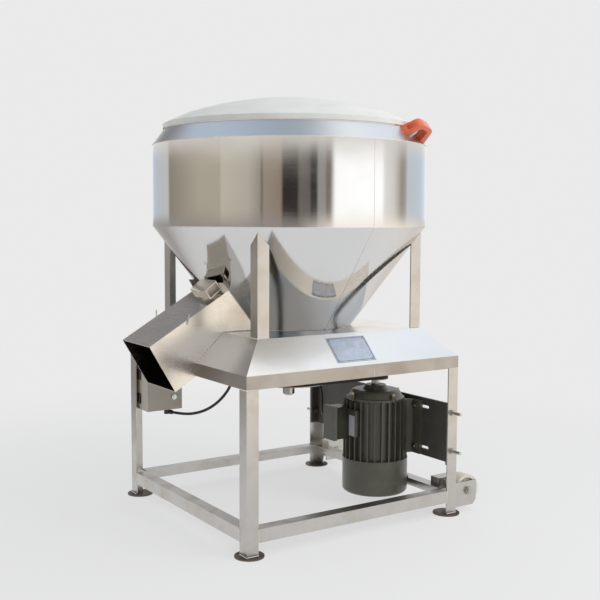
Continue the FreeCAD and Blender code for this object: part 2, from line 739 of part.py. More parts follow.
def make_tank():
    drum = new_body("tank_drum")
    revolve(drum, [rect("drum_radius - tank_sheet", "drum_base", "drum_radius", "drum_top")])

    cone = new_body("tank_cone")
    low = cone_at("floor_top")
    revolve(cone, [[
        ("%s - %s" % (low, CONE_WALL), "floor_top"), (low, "floor_top"),
        ("drum_radius", "drum_base"), ("drum_radius - %s" % CONE_WALL, "drum_base")]])
    chute_void(cone, "(-drum_radius)", "(-shaft_radius)")

    shoulder = new_body("tank_shoulder")
    wall = "(tank_sheet * sqrt(%s^2 + %s^2) / %s)" % (SHOULDER_RUN, SHOULDER_RISE, SHOULDER_RISE)
    revolve(shoulder, [[
        ("drum_radius - %s" % wall, "drum_top"), ("drum_radius", "drum_top"),
        ("shoulder_radius", "shoulder_top"), ("shoulder_radius - %s" % wall, "shoulder_top")]])

    rim = new_body("mouth_rim")
    revolve(rim, [[
        ("mouth_radius", "shoulder_top"), ("shoulder_radius", "shoulder_top"),
        ("shoulder_radius", "shoulder_top + hood_plate"),
        ("mouth_radius + tank_sheet", "shoulder_top + hood_plate"),
        ("mouth_radius + tank_sheet", "shoulder_top + collar_high"),
        ("mouth_radius", "shoulder_top + collar_high")]])

    floor = new_body("tank_floor")
    disc = [("0", "0", low)]
    extrude(floor, "z", FLOOR_BASE, "floor_top", disc)
    holes = [("0", "0", "shaft_radius + shaft_pass")] + four_round("bolt_place", BOLT_HOLE)
    extrude(floor, "z", FLOOR_BASE, "floor_top", holes, cut=True)


def four_round(place, radius):
    """Four circles on a square about the axis."""
    return [("%s * %d" % (place, x), "%s * %d" % (place, y), radius) for x, y in CORNERS.values()]


def make_lid():
    """A moulded lid: a skirt, a sloping border and a shallow dome."""
    body = new_body("lid")
    seat = "(shoulder_top + hood_plate + weld_gap)"
    inner = "(lid_radius - lid_wall)"
    shape = [
        ("0", "lid_top"), ("lid_knee_radius", "lid_knee_top"), ("lid_radius", "lid_rim_top"),
        ("lid_radius", seat), (inner, seat), (inner, "lid_rim_top - lid_wall / 2"),
        ("lid_knee_radius", "lid_knee_top - lid_wall"), ("0", "lid_top - lid_wall")]
    revolve(body, [(shape, {0: "0", 6: "0"})])


def make_riser():
    tube = new_body("riser_tube")
    revolve(tube, [rect("riser_radius - tank_sheet", "riser_base", "riser_radius", "riser_top")])
    arms = new_body("riser_arms")
    start = "riser_radius + weld_gap"
    wide = "(%s + %s)" % (CONE_WALL, CONE_GAP)
    low_z, high_z = "lower_arm", "(lower_arm + arm_high)"
    lower = [
        (start, low_z), ("%s - %s" % (cone_at(low_z), wide), low_z),
        ("%s - %s" % (cone_at(high_z), wide), high_z), (start, high_z)]
    upper = rect(start, "upper_arm", "drum_radius - tank_sheet - weld_gap", "upper_arm + arm_high")
    pad = extrude(arms, "y", "-arm_thick / 2", "arm_thick / 2", [lower, upper])
    polar(arms, pad, ARM_COUNT)


def make_main_rotor():
    shaft = new_body("main_shaft")
    nose = "(shaft_base + shaft_nose)"
    revolve(shaft, [[
        ("0", "shaft_base"), ("shaft_radius - shaft_step", "shaft_base"), ("shaft_radius", nose),
        ("shaft_radius", "shaft_top"), ("0", "shaft_top")]])

    auger = new_body("auger")
    bore = "(shaft_radius + running_gap)"
    base = "(floor_top + auger_foot)"
    top = "(shaft_top + core_over)"
    root = "auger_core - flight_root"
    revolve(auger, [rect(bore, base, "auger_core", top)])
    sketch = new_sketch(auger, "XZ_Plane")
    outline(sketch, rect(root, "auger_base", "auger_radius", "auger_base + flight_thick"))
    flight = auger.newObject("PartDesign::AdditiveHelix", "auger_flight")
    flight.Profile = sketch
    flight.ReferenceAxis = (sketch, ["V_Axis"])
    flight.Mode = "pitch-height-angle"
    flight.setExpression("Pitch", on_sheet("auger_pitch"))
    flight.setExpression("Height", on_sheet("auger_high"))
    for turn in (0, 1):
        low, high = mirrored(1 - 2 * turn, root, "sweep_reach")
        arm = rect(low, "%s + sweep_lift" % base, high, "%s + sweep_lift + sweep_high" % base)
        extrude(auger, "y", "-blade_thick / 2", "blade_thick / 2", [arm])
        low, high = mirrored(1 - 2 * turn, root, "scatter_reach")
        blade = rect(low, "riser_top + scatter_lift", high, top)
        extrude(auger, "x", "-blade_thick / 2", "blade_thick / 2", [blade])

    pulley = new_body("main_pulley")
    web_low = "(belt_middle - pulley_web / 2)"
    web_high = "(belt_middle + pulley_web / 2)"
    bore = "(shaft_radius + running_gap)"
    revolve(pulley, [
        [(bore, BELT_LOW), ("pulley_hub", BELT_LOW), ("pulley_hub", web_low), ("pulley_rim", web_low),
         ("pulley_rim", BELT_LOW)]
        + groove_rim("main_pulley_radius")
        + [("pulley_rim", BELT_HIGH), ("pulley_rim", web_high), ("pulley_hub", web_high),
           ("pulley_hub", BELT_HIGH), (bore, BELT_HIGH)]])
    hole = [("(pulley_hub + pulley_rim) / 2", "0", "(pulley_rim - pulley_hub) / 3")]
    cut = extrude(pulley, "z", web_low + " - overshoot", web_high + " + overshoot", hole, cut=True)
    polar(pulley, cut, PULLEY_HOLES)


def groove_rim(radius):
    """The rim of a pulley from its lower to its upper edge, with two V grooves."""
    flank = "(belt_clear / cos(belt_taper))"
    deep = "(belt_thick + belt_clear)"
    wide = "(belt_wide / 2 + %s)" % flank
    narrow = "(%s - %s * tan(belt_taper))" % (wide, deep)
    points = [(radius, BELT_LOW)]
    for side in (-1, 1):
        middle = "(belt_middle + groove_step / 2 * %d)" % side
        points.append((radius, "%s - %s" % (middle, wide)))
        points.append(("%s - %s" % (radius, deep), "%s - %s" % (middle, narrow)))
        points.append(("%s - %s" % (radius, deep), "%s + %s" % (middle, narrow)))
        points.append((radius, "%s + %s" % (middle, wide)))
    points.append((radius, BELT_HIGH))
    return points


def make_belts():
    """Two V belts round both pulleys, each a wedge section swept along its loop."""
    big = number("main_pulley_radius")
    small = number("motor_pulley_radius")
    run_x = number("motor_x")
    run_y = number("motor_y")
    span = math.hypot(run_x, run_y)
    heading = math.atan2(run_y, run_x)
    lean = math.acos((big - small) / span)
    middle = number("belt_middle")
    step = number("groove_step")
    half_back = number("belt_wide / 2")
    half_face = number("belt_wide / 2 - belt_thick * tan(belt_taper)")
    thick = number("belt_thick")
    loops = []
    for side in (-1, 1):
        z = middle + side * step / 2
        main = FreeCAD.Vector(0, 0, z)
        motor = FreeCAD.Vector(run_x, run_y, z)

        def spot(centre, radius, angle):
            return centre + FreeCAD.Vector(math.cos(angle), math.sin(angle), 0) * radius

        upper = heading + lean
        lower = heading - lean
        path = [
            Part.LineSegment(spot(main, big, lower), spot(motor, small, lower)).toShape(),
            Part.Arc(spot(motor, small, lower), spot(motor, small, heading),
                     spot(motor, small, upper)).toShape(),
            Part.LineSegment(spot(motor, small, upper), spot(main, big, upper)).toShape(),
            Part.Arc(spot(main, big, upper), spot(main, big, heading + math.pi),
                     spot(main, big, lower)).toShape()]
        out = FreeCAD.Vector(math.cos(lower), math.sin(lower), 0)
        up = FreeCAD.Vector(0, 0, 1)
        start = spot(main, big, lower)
        corners = [
            start + up * half_back, start - up * half_back,
            start - out * thick - up * half_face, start - out * thick + up * half_face]
        section = Part.Wire(Part.makePolygon(corners + [corners[0]]))
        loops.append(Part.Wire(path).makePipeShell([section], True, False, 2))
    belts = doc.addObject("Part::Feature", "v_belts")
    belts.Label = "v_belts"
    belts.Shape = Part.makeCompound(loops)
    belts.Placement = FreeCAD.Placement(FreeCAD.Vector(number(SHIFT), 0, 0), FreeCAD.Rotation())
    subparts.append(belts)


def make_beam():
    body = new_body("cross_beam")
    base = "(ring_base + angle_wall)"
    inner = "(beam_half - beam_wall)"
    channel = [
        ("-beam_half", base), (minus(inner), base), (minus(inner), BEAM_UNDER),
        (inner, BEAM_UNDER), (inner, base), ("beam_half", base),
        ("beam_half", "beam_top"), ("-beam_half", "beam_top")]
    reach = "(frame_half - angle_wall)"
    extrude(body, "y", minus(reach), reach, [channel])
    holes = [("0", "0", "shaft_radius + beam_pass")] + four_round("bolt_place", BOLT_HOLE)
    extrude(body, "z", BEAM_UNDER + " - overshoot", "beam_top + overshoot", holes, cut=True)


def make_bearings():
    """Two flanged bearing housings, one under the beam and one under the tank's floor."""
    for name, top in (("bearing_housing_lower", BEAM_UNDER), ("bearing_housing_upper", FLOOR_BASE)):
        body = new_body(name)
        low = "(%s - housing_flange)" % top
        foot = "(%s - housing_high)" % top
        extrude(body, "z", low, top, [rounded_square("housing_half", "housing_corner")])
        revolve(body, [[
            ("0", foot), ("housing_radius - housing_draft", foot),
            ("housing_radius", "%s + housing_taper" % foot),
            ("housing_radius", "%s + overshoot" % low), ("0", "%s + overshoot" % low)]])
        bore = [("0", "0", "shaft_radius + running_gap")]
        above = top + " + overshoot"
        extrude(body, "z", foot + " - overshoot", above, bore, cut=True)
        extrude(body, "z", low + " - overshoot", above, four_round("bolt_place", BOLT_HOLE), cut=True)

    bolts = new_body("bearing_bolts")
    places = [(BEAM_UNDER, "beam_top"), (FLOOR_BASE, "floor_top")]
    for under, top in places:
        flange = "(%s - housing_flange)" % under
        for x, y in CORNERS.values():
            bolt(bolts, "z", "bolt_place * %d" % x, "bolt_place * %d" % y,
                 "%s - bolt_head - bolt_tail" % flange, "%s + overshoot" % top, flange, top)


def rounded_square(half, corner):
    """A square with arcs at its corners."""
    inner = "(%s - %s)" % (half, corner)
    points = [
        (inner, minus(half)), (half, minus(inner)), (half, inner), (inner, half),
        (minus(inner), half), (minus(half), inner), (minus(half), minus(inner)),
        (minus(inner), minus(half))]
    return (points, {0: inner, 2: inner, 4: minus(inner), 6: minus(inner)})


def chute_void(body, far, near):
    """Cut the chute's clear passage."""
    half = "(chute_half - chute_sheet)"
    top = "chute_sheet"
    deep = "chute_depth - chute_sheet"
    passage = [
        (far, chute_at(far, deep)), (near, chute_at(near, deep)),
        (near, chute_at(near, top)), (far, chute_at(far, top))]
    extrude(body, "y", minus(half), half, [passage], cut=True)


def wall_spot(along, out):
    """A point beside the cone's left wall: along it from the hood's top, and out from it."""
    slant = "sqrt(%s^2 + %s^2)" % (CONE_RUN, CONE_RISE)
    x = "(-cone_foot_radius - (%s) * %s / %s - (%s) * %s / %s)" % (
        along, CONE_RUN, slant, out, CONE_RISE, slant)
    z = "(hood_top + (%s) * %s / %s - (%s) * %s / %s)" % (
        along, CONE_RISE, slant, out, CONE_RUN, slant)
    return (x, z)


def make_chute():
    body = new_body("chute")
    near = "(-cone_foot_radius / 2)"
    low_x = "(-chute_reach + chute_depth * sin(chute_slope))"
    low_z = "(mouth_top_z - chute_depth * cos(chute_slope))"
    shape = [
        ("-chute_reach", "mouth_top_z"), (low_x, low_z),
        (near, chute_at(near, "chute_depth")), (near, chute_at(near, "0"))]
    extrude(body, "y", "-chute_half", "chute_half", [shape])
    chute_void(body, "(-chute_reach - chute_depth)", near)
    inner = "(gate_stand - gate_clear)"
    outer = "(gate_stand + gate_thick + gate_clear)"
    slot = [
        wall_spot("pull_foot - gate_slot", inner), wall_spot("pull_foot - gate_slot", outer),
        wall_spot("pull_foot", outer), wall_spot("pull_foot", inner)]
    half = "(chute_half - chute_sheet)"
    extrude(body, "y", minus(half), half, [slot], cut=True)
    cone_void(body)

    pegs = new_body("bag_pegs", minus("chute_reach"), "0", "mouth_top_z")
    turn_about(pegs, (0, 1, 0), "-chute_slope")
    for side in (-1, 1):
        low, high = "peg_place - peg_long / 2", "peg_place + peg_long / 2"
        centre = "(chute_half - peg_radius) * %d" % side
        extrude(pegs, "x", low, high, [(centre, "peg_radius", "peg_radius")])

    guides = new_body("gate_guides", minus("cone_foot_radius"), "0", "hood_top")
    turn_about(guides, (0, 1, 0), "-atan(%s / %s)" % (CONE_RUN, CONE_RISE))
    edge = "(chute_half - chute_sheet)"
    strips = []
    for side in (-1, 1):
        for near, far in (("gate_stand - gate_clear - guide_thick", "gate_stand - gate_clear"),
                          ("gate_stand + gate_thick + gate_clear",
                           "gate_stand + gate_thick + gate_clear + guide_thick")):
            low, high = mirrored(side, "(%s - guide_wide)" % edge, edge)
            strips.append(rect(minus(far), low, minus(near), high))
    extrude(guides, "z", minus("guide_drop"), "guide_top", strips)


def make_gate():
    """The gate plate with its hollow pull, drawn upright and leant against the cone."""
    body = new_body("slide_gate", minus("cone_foot_radius"), "0", "hood_top")
    turn_about(body, (0, 1, 0), "-atan(%s / %s)" % (CONE_RUN, CONE_RISE))
    half = "(chute_half - chute_sheet - gate_clear)"
    face = "(gate_stand + gate_thick)"
    extrude(body, "x", minus(face), "-gate_stand",
            [rect(minus(half), minus("gate_drop"), half, "pull_foot + pull_high")])
    tube = rect(minus(face) + " - pull_deep", "pull_foot", minus(face), "pull_foot + pull_high")
    hollow = rect(
        minus(face) + " - pull_deep + pull_wall", "pull_foot + pull_wall",
        minus(face) + " - pull_wall", "pull_foot + pull_high - pull_wall")
    extrude(body, "y", "-pull_half", "pull_half", [tube, hollow])


def make_motor():
    stator = new_body("motor_stator", "motor_x", "motor_y")
    bore = "(motor_shaft_radius + running_gap)"
    revolve(stator, [[
        (bore, "cowl_top"), ("cowl_radius", "cowl_top"), ("cowl_radius", "cowl_top + shield_high"),
        ("core_radius", "cowl_top + shield_high"), ("core_radius", "fin_top"), (bore, "fin_top")]])
    fin = rect("core_radius - fin_root", "-fin_thick / 2", "fin_radius", "fin_thick / 2")
    pad = extrude(stator, "z", "cowl_top + fin_root", "fin_top - fin_short", [fin])
    polar(stator, pad, FIN_COUNT)
    for side in (-1, 1):
        shape = [
            ("motor_height", "foot_half"), ("motor_height", "foot_half - foot_pad"),
            ("motor_height - foot_wall", "foot_half - foot_pad"),
            ("core_radius / 2", "core_radius / 2"), ("core_radius / 2", "core_radius / 2 + foot_web"),
            ("motor_height - foot_wall", "foot_half - foot_pad + foot_web"),
            ("motor_height - foot_wall", "foot_half")]
        shape = [(x, "(%s) * %d" % (y, side)) for x, y in shape]
        extrude(stator, "z", "foot_base", "foot_top", [shape])
    holes = []
    for y in ("foot_bolt_half", "-foot_bolt_half"):
        for z in ("foot_hole_low", "foot_hole_high"):
            holes.append((y, z, BOLT_HOLE))
    deep = "motor_height - foot_wall - overshoot"
    extrude(stator, "x", deep, "motor_height + overshoot", holes, cut=True)
    seat = rect("box_offset - box_half + box_lid", "box_base + box_lid",
                "box_offset + box_half - box_lid", "box_top - box_lid")
    extrude(stator, "x", "-box_seat", "-core_radius * 2 / 3", [seat])

    bell = new_body("motor_end_bell", "motor_x", "motor_y")
    rim = "(core_radius + bell_rim)"
    crown = "(core_radius - bell_crown)"
    revolve(bell, [(
        [(bore, "fin_top"), (rim, "fin_top"), (rim, "fin_top + bell_rim"),
         ("core_radius", "fin_top + bell_edge"), ("core_radius - bell_round", "bell_top - bell_round"),
         (crown, "bell_top"), ("bell_hub_foot", "bell_top"), ("bell_hub", "bell_hub_top"),
         (bore, "bell_hub_top")],
        {4: crown})])
    boss = extrude(bell, "z", "fin_top", "fin_top + tie_high", [("tie_place", "0", "tie_boss")])
    polar(bell, boss, 4)

    cowl = new_body("motor_fan_cowl", "motor_x", "motor_y")
    inside = "(cowl_radius - cowl_wall)"
    flat = "(cowl_radius - cowl_round)"
    round_top = "(motor_base + cowl_round)"
    revolve(cowl, [(
        [("0", "motor_base"), (flat, "motor_base"), ("cowl_radius", round_top),
         ("cowl_radius", "cowl_top"), (inside, "cowl_top"), (inside, round_top),
         (flat, "motor_base + cowl_wall"), ("0", "motor_base + cowl_wall")],
        {1: flat, 5: flat})])
    slot = rect("cowl_slot_in", minus("cowl_slot_half"), "cowl_slot_out", "cowl_slot_half")
    under = "motor_base - overshoot"
    cut = extrude(cowl, "z", under, "motor_base + cowl_wall + overshoot", [slot], cut=True)
    polar(cowl, cut, COWL_SLOTS)

    rotor = new_body("motor_rotor", "motor_x", "motor_y")
    revolve(rotor, [[
        ("0", "motor_shaft_base"), ("motor_shaft_radius", "motor_shaft_base"),
        ("motor_shaft_radius", "motor_shaft_top - shaft_bevel"),
        ("motor_shaft_radius - shaft_bevel", "motor_shaft_top"),
        ("0", "motor_shaft_top")]])

    fan = new_body("motor_fan", "motor_x", "motor_y")
    revolve(fan, [[
        (bore, "fan_base"), ("fan_hub", "fan_base"), ("fan_neck", "fan_top - fan_disc"),
        ("fan_radius - fan_disc", "fan_top - fan_disc"), ("fan_radius - fan_disc", "fan_top"),
        (bore, "fan_top")]])
    blade = rect("fan_root", "-fan_blade / 2", "fan_radius - 2 * fan_disc", "fan_blade / 2")
    pad = extrude(fan, "z", "fan_base + fan_disc", "fan_top - fan_disc / 2", [blade])
    polar(fan, pad, FAN_BLADES)

    small = new_body("motor_pulley", "motor_x", "motor_y")
    revolve(small, [
        [(bore, BELT_LOW)] + groove_rim("motor_pulley_radius") + [(bore, BELT_HIGH)]])

    box = new_body("terminal_box", "motor_x", "motor_y + box_offset")
    front = "(-box_reach + box_lid)"
    extrude(box, "x", front, "-box_seat", [rect(
        "-box_half + box_step", "box_base + box_step", "box_half - box_step", "box_top - box_step")])
    extrude(box, "x", "-box_reach", front, [rect("-box_half", "box_base", "box_half", "box_top")])


def make_motor_plate():
    """A bent plate between the right-hand legs, slotted for the motor's feet."""
    body = new_body("motor_plate")
    reach = "(frame_half - angle_wall)"
    inner = "(%s - plate_thick)" % reach
    lip = "(%s - plate_flange)" % reach
    shape = [
        (reach, minus(reach)), (reach, reach), (lip, reach), (lip, inner),
        (PLATE_X, inner), (PLATE_X, minus(inner)), (lip, minus(inner)), (lip, minus(reach))]
    extrude(body, "z", "plate_base", "plate_top", [shape])
    slots = []
    for side in (-1, 1):
        for height in ("foot_hole_low", "foot_hole_high"):
            middle = "(motor_y + foot_bolt_half * %d)" % side
            slots.append(slot_outline(middle, height, "slot_half", BOLT_HOLE))
    extrude(body, "x", PLATE_X + " - overshoot", reach + " + overshoot", slots, cut=True)
    for side in (-1, 1):
        bore_plate_bolts(body, side)

    bolts = new_body("motor_plate_bolts")
    for side in (-1, 1):
        for height in ("foot_hole_low", "foot_hole_high"):
            bolt(bolts, "x", "motor_y + foot_bolt_half * %d" % side, height,
                 PLATE_X + " - foot_wall - bolt_head - bolt_tail", reach + " + bolt_head",
                 PLATE_X + " - foot_wall", reach)

    for side in (-1, 1):
        for height in ("plate_bolt_low", "plate_bolt_high"):
            low, high = mirrored(side, inner + " - bolt_head", "frame_half + plate_bolt_out")
            face_low, face_high = mirrored(side, inner, "frame_half")
            bolt(bolts, "y", "frame_half - plate_bolt_inset", height, low, high, face_low, face_high)


def slot_outline(x, y, half, radius):
    """A slot along the first axis, with round ends."""
    left = "(%s - %s)" % (x, half)
    right = "(%s + %s)" % (x, half)
    low = "(%s - %s)" % (y, radius)
    high = "(%s + %s)" % (y, radius)
    return ([(left, low), (right, low), (right, high), (left, high)], {1: right, 3: left})


def make_control_box():
    body = new_body("control_box")
    extrude(body, "y", "panel_seam", "panel_back",
            [rect("panel_left", "panel_base", "panel_right", "panel_top")])
    inside = rect("panel_left + panel_sheet", "panel_base + panel_sheet",
                  "panel_right - panel_sheet", "panel_top - panel_sheet")
    extrude(body, "y", "panel_seam", "panel_back - panel_sheet", [inside], cut=True)

    door = new_body("control_box_door")
    extrude(door, "y", "panel_front", DOOR_BACK,
            [rect("panel_left", "panel_base", "panel_right", "panel_top")])
    extrude(door, "y", "panel_front + panel_sheet", DOOR_BACK, [inside], cut=True)
    extrude(door, "y", "panel_front - overshoot", "panel_front + 2 * panel_sheet",
            [("lock_x", "lock_z", "lock_barrel + running_gap")], cut=True)

    pins = new_body("door_hinges")
    axis_x = "(panel_left - hinge_radius - weld_gap)"
    for height in ("hinge_low", "hinge_high"):
        extrude(pins, "z", height + " - hinge_half", height + " + hinge_half",
                [(axis_x, "panel_seam", "hinge_radius")])
        extrude(pins, "z", height + " - hinge_half", height + " + hinge_half",
                [rect(axis_x, "panel_seam + door_gap", "panel_left", "panel_seam + hinge_leaf")])

    lock = new_body("door_lock", "lock_x", "panel_front", "lock_z")
    extrude(lock, "y", "-lock_head", "0", [("0", "0", "lock_radius")])
    extrude(lock, "y", "-overshoot", "lock_long", [("0", "0", "lock_barrel")])
    bit = rect("-lock_bit / 2", "-lock_radius + lock_bit", "lock_bit / 2", "lock_radius - lock_bit")
    extrude(lock, "y", "-lock_head - lock_bit / 2", "-lock_head + overshoot", [bit])
    tongue = rect("-lock_tongue_half", "-lock_tongue_half", "lock_tongue", "lock_tongue_half")
    extrude(lock, "y", "lock_long - lock_bit", "lock_long", [tongue])

    unit = new_body("contactor")
    back = "(panel_back - panel_sheet)"
    left = "(panel_left + unit_left)"
    low = "(panel_base + unit_low)"
    seat = "(%s - rail_thick)" % back
    strip = rect(left, low, left + " + rail_wide", low + " + unit_high")
    extrude(unit, "y", seat, back, [strip])
    block = rect(left + " + unit_inset", low + " + unit_short", left + " + rail_wide - unit_inset",
                 low + " + unit_high - 2 * unit_short")
    extrude(unit, "y", seat + " - unit_deep", seat + " + overshoot", [block])


CABLE_ROUTE = [
    (-275, 329, 288), (-250, 301, 284), (-219, 268, 287), (-184, 232, 305), (-152, 198, 341),
    (-128, 172, 390), (-116, 158, 446), (-118, 156, 500), (-104, 162, 541), (-58, 168, 552),
    (0, 170, 540), (58, 168, 552), (108, 160, 541), (144, 140, 496), (176, 116, 446),
    (190, 92, 396), (186, 66, 354), (168, 40, 320), (149, 14, 297), (142, -13, 290),
    (142, -38, 290)]


def make_cable():
    """A round cable along straight runs joined by tangent arcs."""
    points = [FreeCAD.Vector(*spot) for spot in CABLE_ROUTE]
    radius = number("cable_radius")
    edges = []
    start = points[0]
    radii = []
    for before, corner, after in zip(points, points[1:], points[2:]):
        into = corner - before
        away = after - corner
        half_turn = into.getAngle(away) / 2
        setback = 0.45 * min(into.Length, away.Length)
        bend = setback / math.tan(half_turn)
        radii.append(round(bend))
        first = corner - FreeCAD.Vector(into).normalize() * setback
        last = corner + FreeCAD.Vector(away).normalize() * setback
        chord_middle = (first + last) / 2
        inward = (chord_middle - corner).normalize()
        centre_far = bend / math.cos(half_turn)
        crown = corner + inward * (centre_far - bend)
        edges.append(Part.LineSegment(start, first).toShape())
        edges.append(Part.Arc(first, crown, last).toShape())
        start = last
    edges.append(Part.LineSegment(start, points[-1]).toShape())
    path = Part.Wire(edges)
    heading = (points[1] - points[0]).normalize()
    section = Part.Wire(Part.makeCircle(radius, points[0], heading))
    tube = path.makePipeShell([section], True, False)
    expected = math.pi * radius ** 2 * path.Length
    print("cable radii", radii, "length", round(path.Length), "volume ratio", tube.Volume / expected)
    cable = doc.addObject("Part::Feature", "motor_cable")
    cable.Label = "motor_cable"
    cable.Shape = tube
    cable.Placement = FreeCAD.Placement(FreeCAD.Vector(number(SHIFT), 0, 0), FreeCAD.Rotation())
    subparts.append(cable)


def make_glands():
    body = new_body("panel_gland", "panel_gland_x", "panel_gland_y", "panel_base")
    extrude(body, "z", "-gland_nut", "0", [hexagon("0", "0", "gland_radius * 2")])
    neck = [("0", "0", "gland_radius * 0.8")]
    extrude(body, "z", minus("gland_drop"), "-gland_nut + overshoot", neck)

    doc.recompute()
    start = FreeCAD.Vector(*CABLE_ROUTE[0])
    heading = (FreeCAD.Vector(*CABLE_ROUTE[1]) - start).normalize()
    elbow = body.newObject("PartDesign::AdditiveCylinder", "gland_elbow")
    elbow.AttachmentSupport = [(origin_part(body, "XY_Plane"), "")]
    elbow.MapMode = "FlatFace"
    corner = FreeCAD.Vector(number("panel_gland_x"), number("panel_gland_y"), number("panel_base"))
    turn = FreeCAD.Rotation(FreeCAD.Vector(0, 0, 1), heading)
    elbow.setExpression("Radius", on_sheet("gland_radius * 0.7"))
    elbow.setExpression("Height", on_sheet("gland_drop"))
    foot = start - heading * number("gland_drop") - corner
    elbow.AttachmentOffset = FreeCAD.Placement(foot, turn)

    end = new_body("terminal_gland", str(CABLE_ROUTE[-1][0]), "0", "cable_end_z")
    face = "(motor_y + box_offset + box_half)"
    extrude(end, "y", face, face + " + gland_nut", [hexagon("0", "0", "gland_radius * 2")])
    extrude(end, "y", face + " + gland_nut - overshoot", "cable_end_y",
            [("0", "0", "gland_radius * 0.8")])


def make_wheels():
    near = "(wheel_side - wheel_wide / 2)"
    far = "(wheel_side + wheel_wide / 2)"
    inner_in = "(%s - wheel_clear - cheek_wall)" % near
    inner_out = "(%s - wheel_clear)" % near
    outer_in = "(%s + wheel_clear)" % far
    outer_out = "(%s + wheel_clear + cheek_wall)" % far
    axle_hole = "(axle_radius + weld_gap)"
    bolts = new_body("axle_bolts")
    for name, side in ENDS.items():
        bracket = new_body("wheel_bracket_" + name)
        cheek = [
            ("frame_half", "cheek_base"), ("cheek_reach - cheek_cut", "cheek_base"),
            ("cheek_reach", "cheek_base + cheek_cut"), ("cheek_reach", "cheek_top"),
            ("frame_half", "cheek_top")]
        stub_in = "(%s - stub_wide)" % inner_in
        for one, two in ((inner_in, inner_out), (outer_in, outer_out)):
            low, high = mirrored(side, one, two)
            extrude(bracket, "y", low, high, [cheek])
        low, high = mirrored(side, inner_in + " - overshoot", outer_out + " + overshoot")
        extrude(bracket, "y", low, high, [("wheel_x", "wheel_z", axle_hole)], cut=True)
        low, high = mirrored(side, stub_in, inner_in)
        extrude(bracket, "x", "frame_half - stub_long", "wheel_x + 2 * axle_radius",
                [rect(low, "rail_top", high, "rail_top + stub_high")])

        wheel = new_body("wheel_" + name, "wheel_x", "0", "wheel_z")
        tread = [("0", "0", "wheel_radius"), ("0", "0", "axle_radius + running_gap")]
        low, high = mirrored(side, near, far)
        extrude(wheel, "y", low, high, tread)
        for one, two in ((near, near + " + wheel_dish"), (far + " - wheel_dish", far)):
            low, high = mirrored(side, one, two)
            dish = [("0", "0", "wheel_radius - wheel_rim"), ("0", "0", "wheel_hub")]
            extrude(wheel, "y", low, high, dish, cut=True)

        tail = "(axle_nut + bolt_tail)"
        low, high = mirrored(side, "%s - %s" % (inner_in, tail), "%s + %s" % (outer_out, tail))
        face_low, face_high = mirrored(side, inner_in, outer_out)
        extrude(bolts, "y", low, high, [("wheel_x", "wheel_z", "axle_radius")])
        nut = hexagon("wheel_x", "wheel_z", "axle_across")
        extrude(bolts, "y", face_low + " - axle_nut", face_low, [nut])
        extrude(bolts, "y", face_high, face_high + " + axle_nut", [nut])


def make_badge():
    """A bare plate that lies on the hood's front slope."""
    body = new_body("information_plate", minus("badge_side"), minus(hood_at("badge_z")), "badge_z")
    turn_about(body, (1, 0, 0), "atan(%s / %s)" % (HOOD_RISE, HOOD_RUN))
    extrude(body, "z", "0", "badge_thick",
            [rect("-badge_wide / 2", "-badge_high / 2", "badge_wide / 2", "badge_high / 2")])


def make_handles():
    """Two bow handles on the tank's shoulder, for tilting and guiding the mixer."""
    middle_radius = "((drum_radius + shoulder_radius) / 2)"
    middle_z = "((drum_top + shoulder_top) / 2)"
    slant = "sqrt(%s^2 + %s^2)" % (SHOULDER_RUN, SHOULDER_RISE)
    curve = "(%s * %s / %s)" % (middle_radius, slant, SHOULDER_RISE)
    for name, side in ENDS.items():
        angle = "(handle_angle * %d)" % side
        body = new_body("tilt_handle_" + name, "%s * cos%s" % (middle_radius, angle),
                        "%s * sin%s" % (middle_radius, angle), middle_z)
        body.setExpression("Placement.Rotation.Yaw", on_sheet(angle + " + 90"))
        body.setExpression("Placement.Rotation.Roll",
                           on_sheet("atan(%s / %s)" % (SHOULDER_RISE, SHOULDER_RUN)))
        outer = "handle_half"
        foot_in = "(handle_half - handle_foot)"
        turn = "(handle_half - handle_round)"
        top = "handle_high"
        under = "(handle_high - handle_wall)"
        small = "(handle_round / 2)"

        def seat(x):
            return "(weld_gap - (%s)^2 / (2 * %s))" % (x, curve)

        shape = [
            (outer, seat(outer)), (outer, "handle_high - handle_round"), (turn, top),
            (minus(turn), top), (minus(outer), "handle_high - handle_round"),
            (minus(outer), seat(outer)), (minus(foot_in), seat(foot_in)),
            (minus(foot_in), under + " - " + small), (minus(foot_in) + " + " + small, under),
            (foot_in + " - " + small, under), (foot_in, under + " - " + small),
            (foot_in, seat(foot_in))]
        arcs = {1: turn, 3: minus(turn), 7: minus(foot_in) + " + " + small, 9: foot_in + " - " + small}
        extrude(body, "y", "-handle_wide / 2", "handle_wide / 2", [(shape, arcs)])


make_legs()
make_feet()
make_lower_rails()
make_ring()
make_hood()
make_posts()
make_tank()
make_lid()
make_riser()
make_main_rotor()
make_belts()
make_beam()
make_bearings()
make_chute()
make_gate()
make_motor()
make_motor_plate()
make_control_box()
make_cable()
make_glands()
make_wheels()
make_badge()
make_handles()
doc.removeObject("probe")
doc.recompute()

for item in doc.Objects:
    if "Invalid" in item.State or "Error" in item.State:
        raise RuntimeError("failed feature " + item.Name)
for item in subparts:
    if item.Shape.isNull() or not item.Shape.isValid() or not item.Shape.Solids:
        raise RuntimeError("bad shape in " + item.Label)
for item in subparts:
    item.Shape.exportStep("parts/%s.step" % item.Label)
print(len(subparts), "sub-parts")
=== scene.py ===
# %% [markdown]
# # Dressing a stainless feed mixer
#
# The steelwork, motor and moving parts come from a CAD model. They already have the
# right size and place, so nothing here moves or resizes them. What is missing is what
# the eye reads as real: the finish of each surface, the welds, screws and rivets, and
# the light of a plain studio. Each step below explains one of those.

# %% Load the frame
import json
import math

import bmesh
import bpy
from mathutils import Matrix, Quaternion, Vector


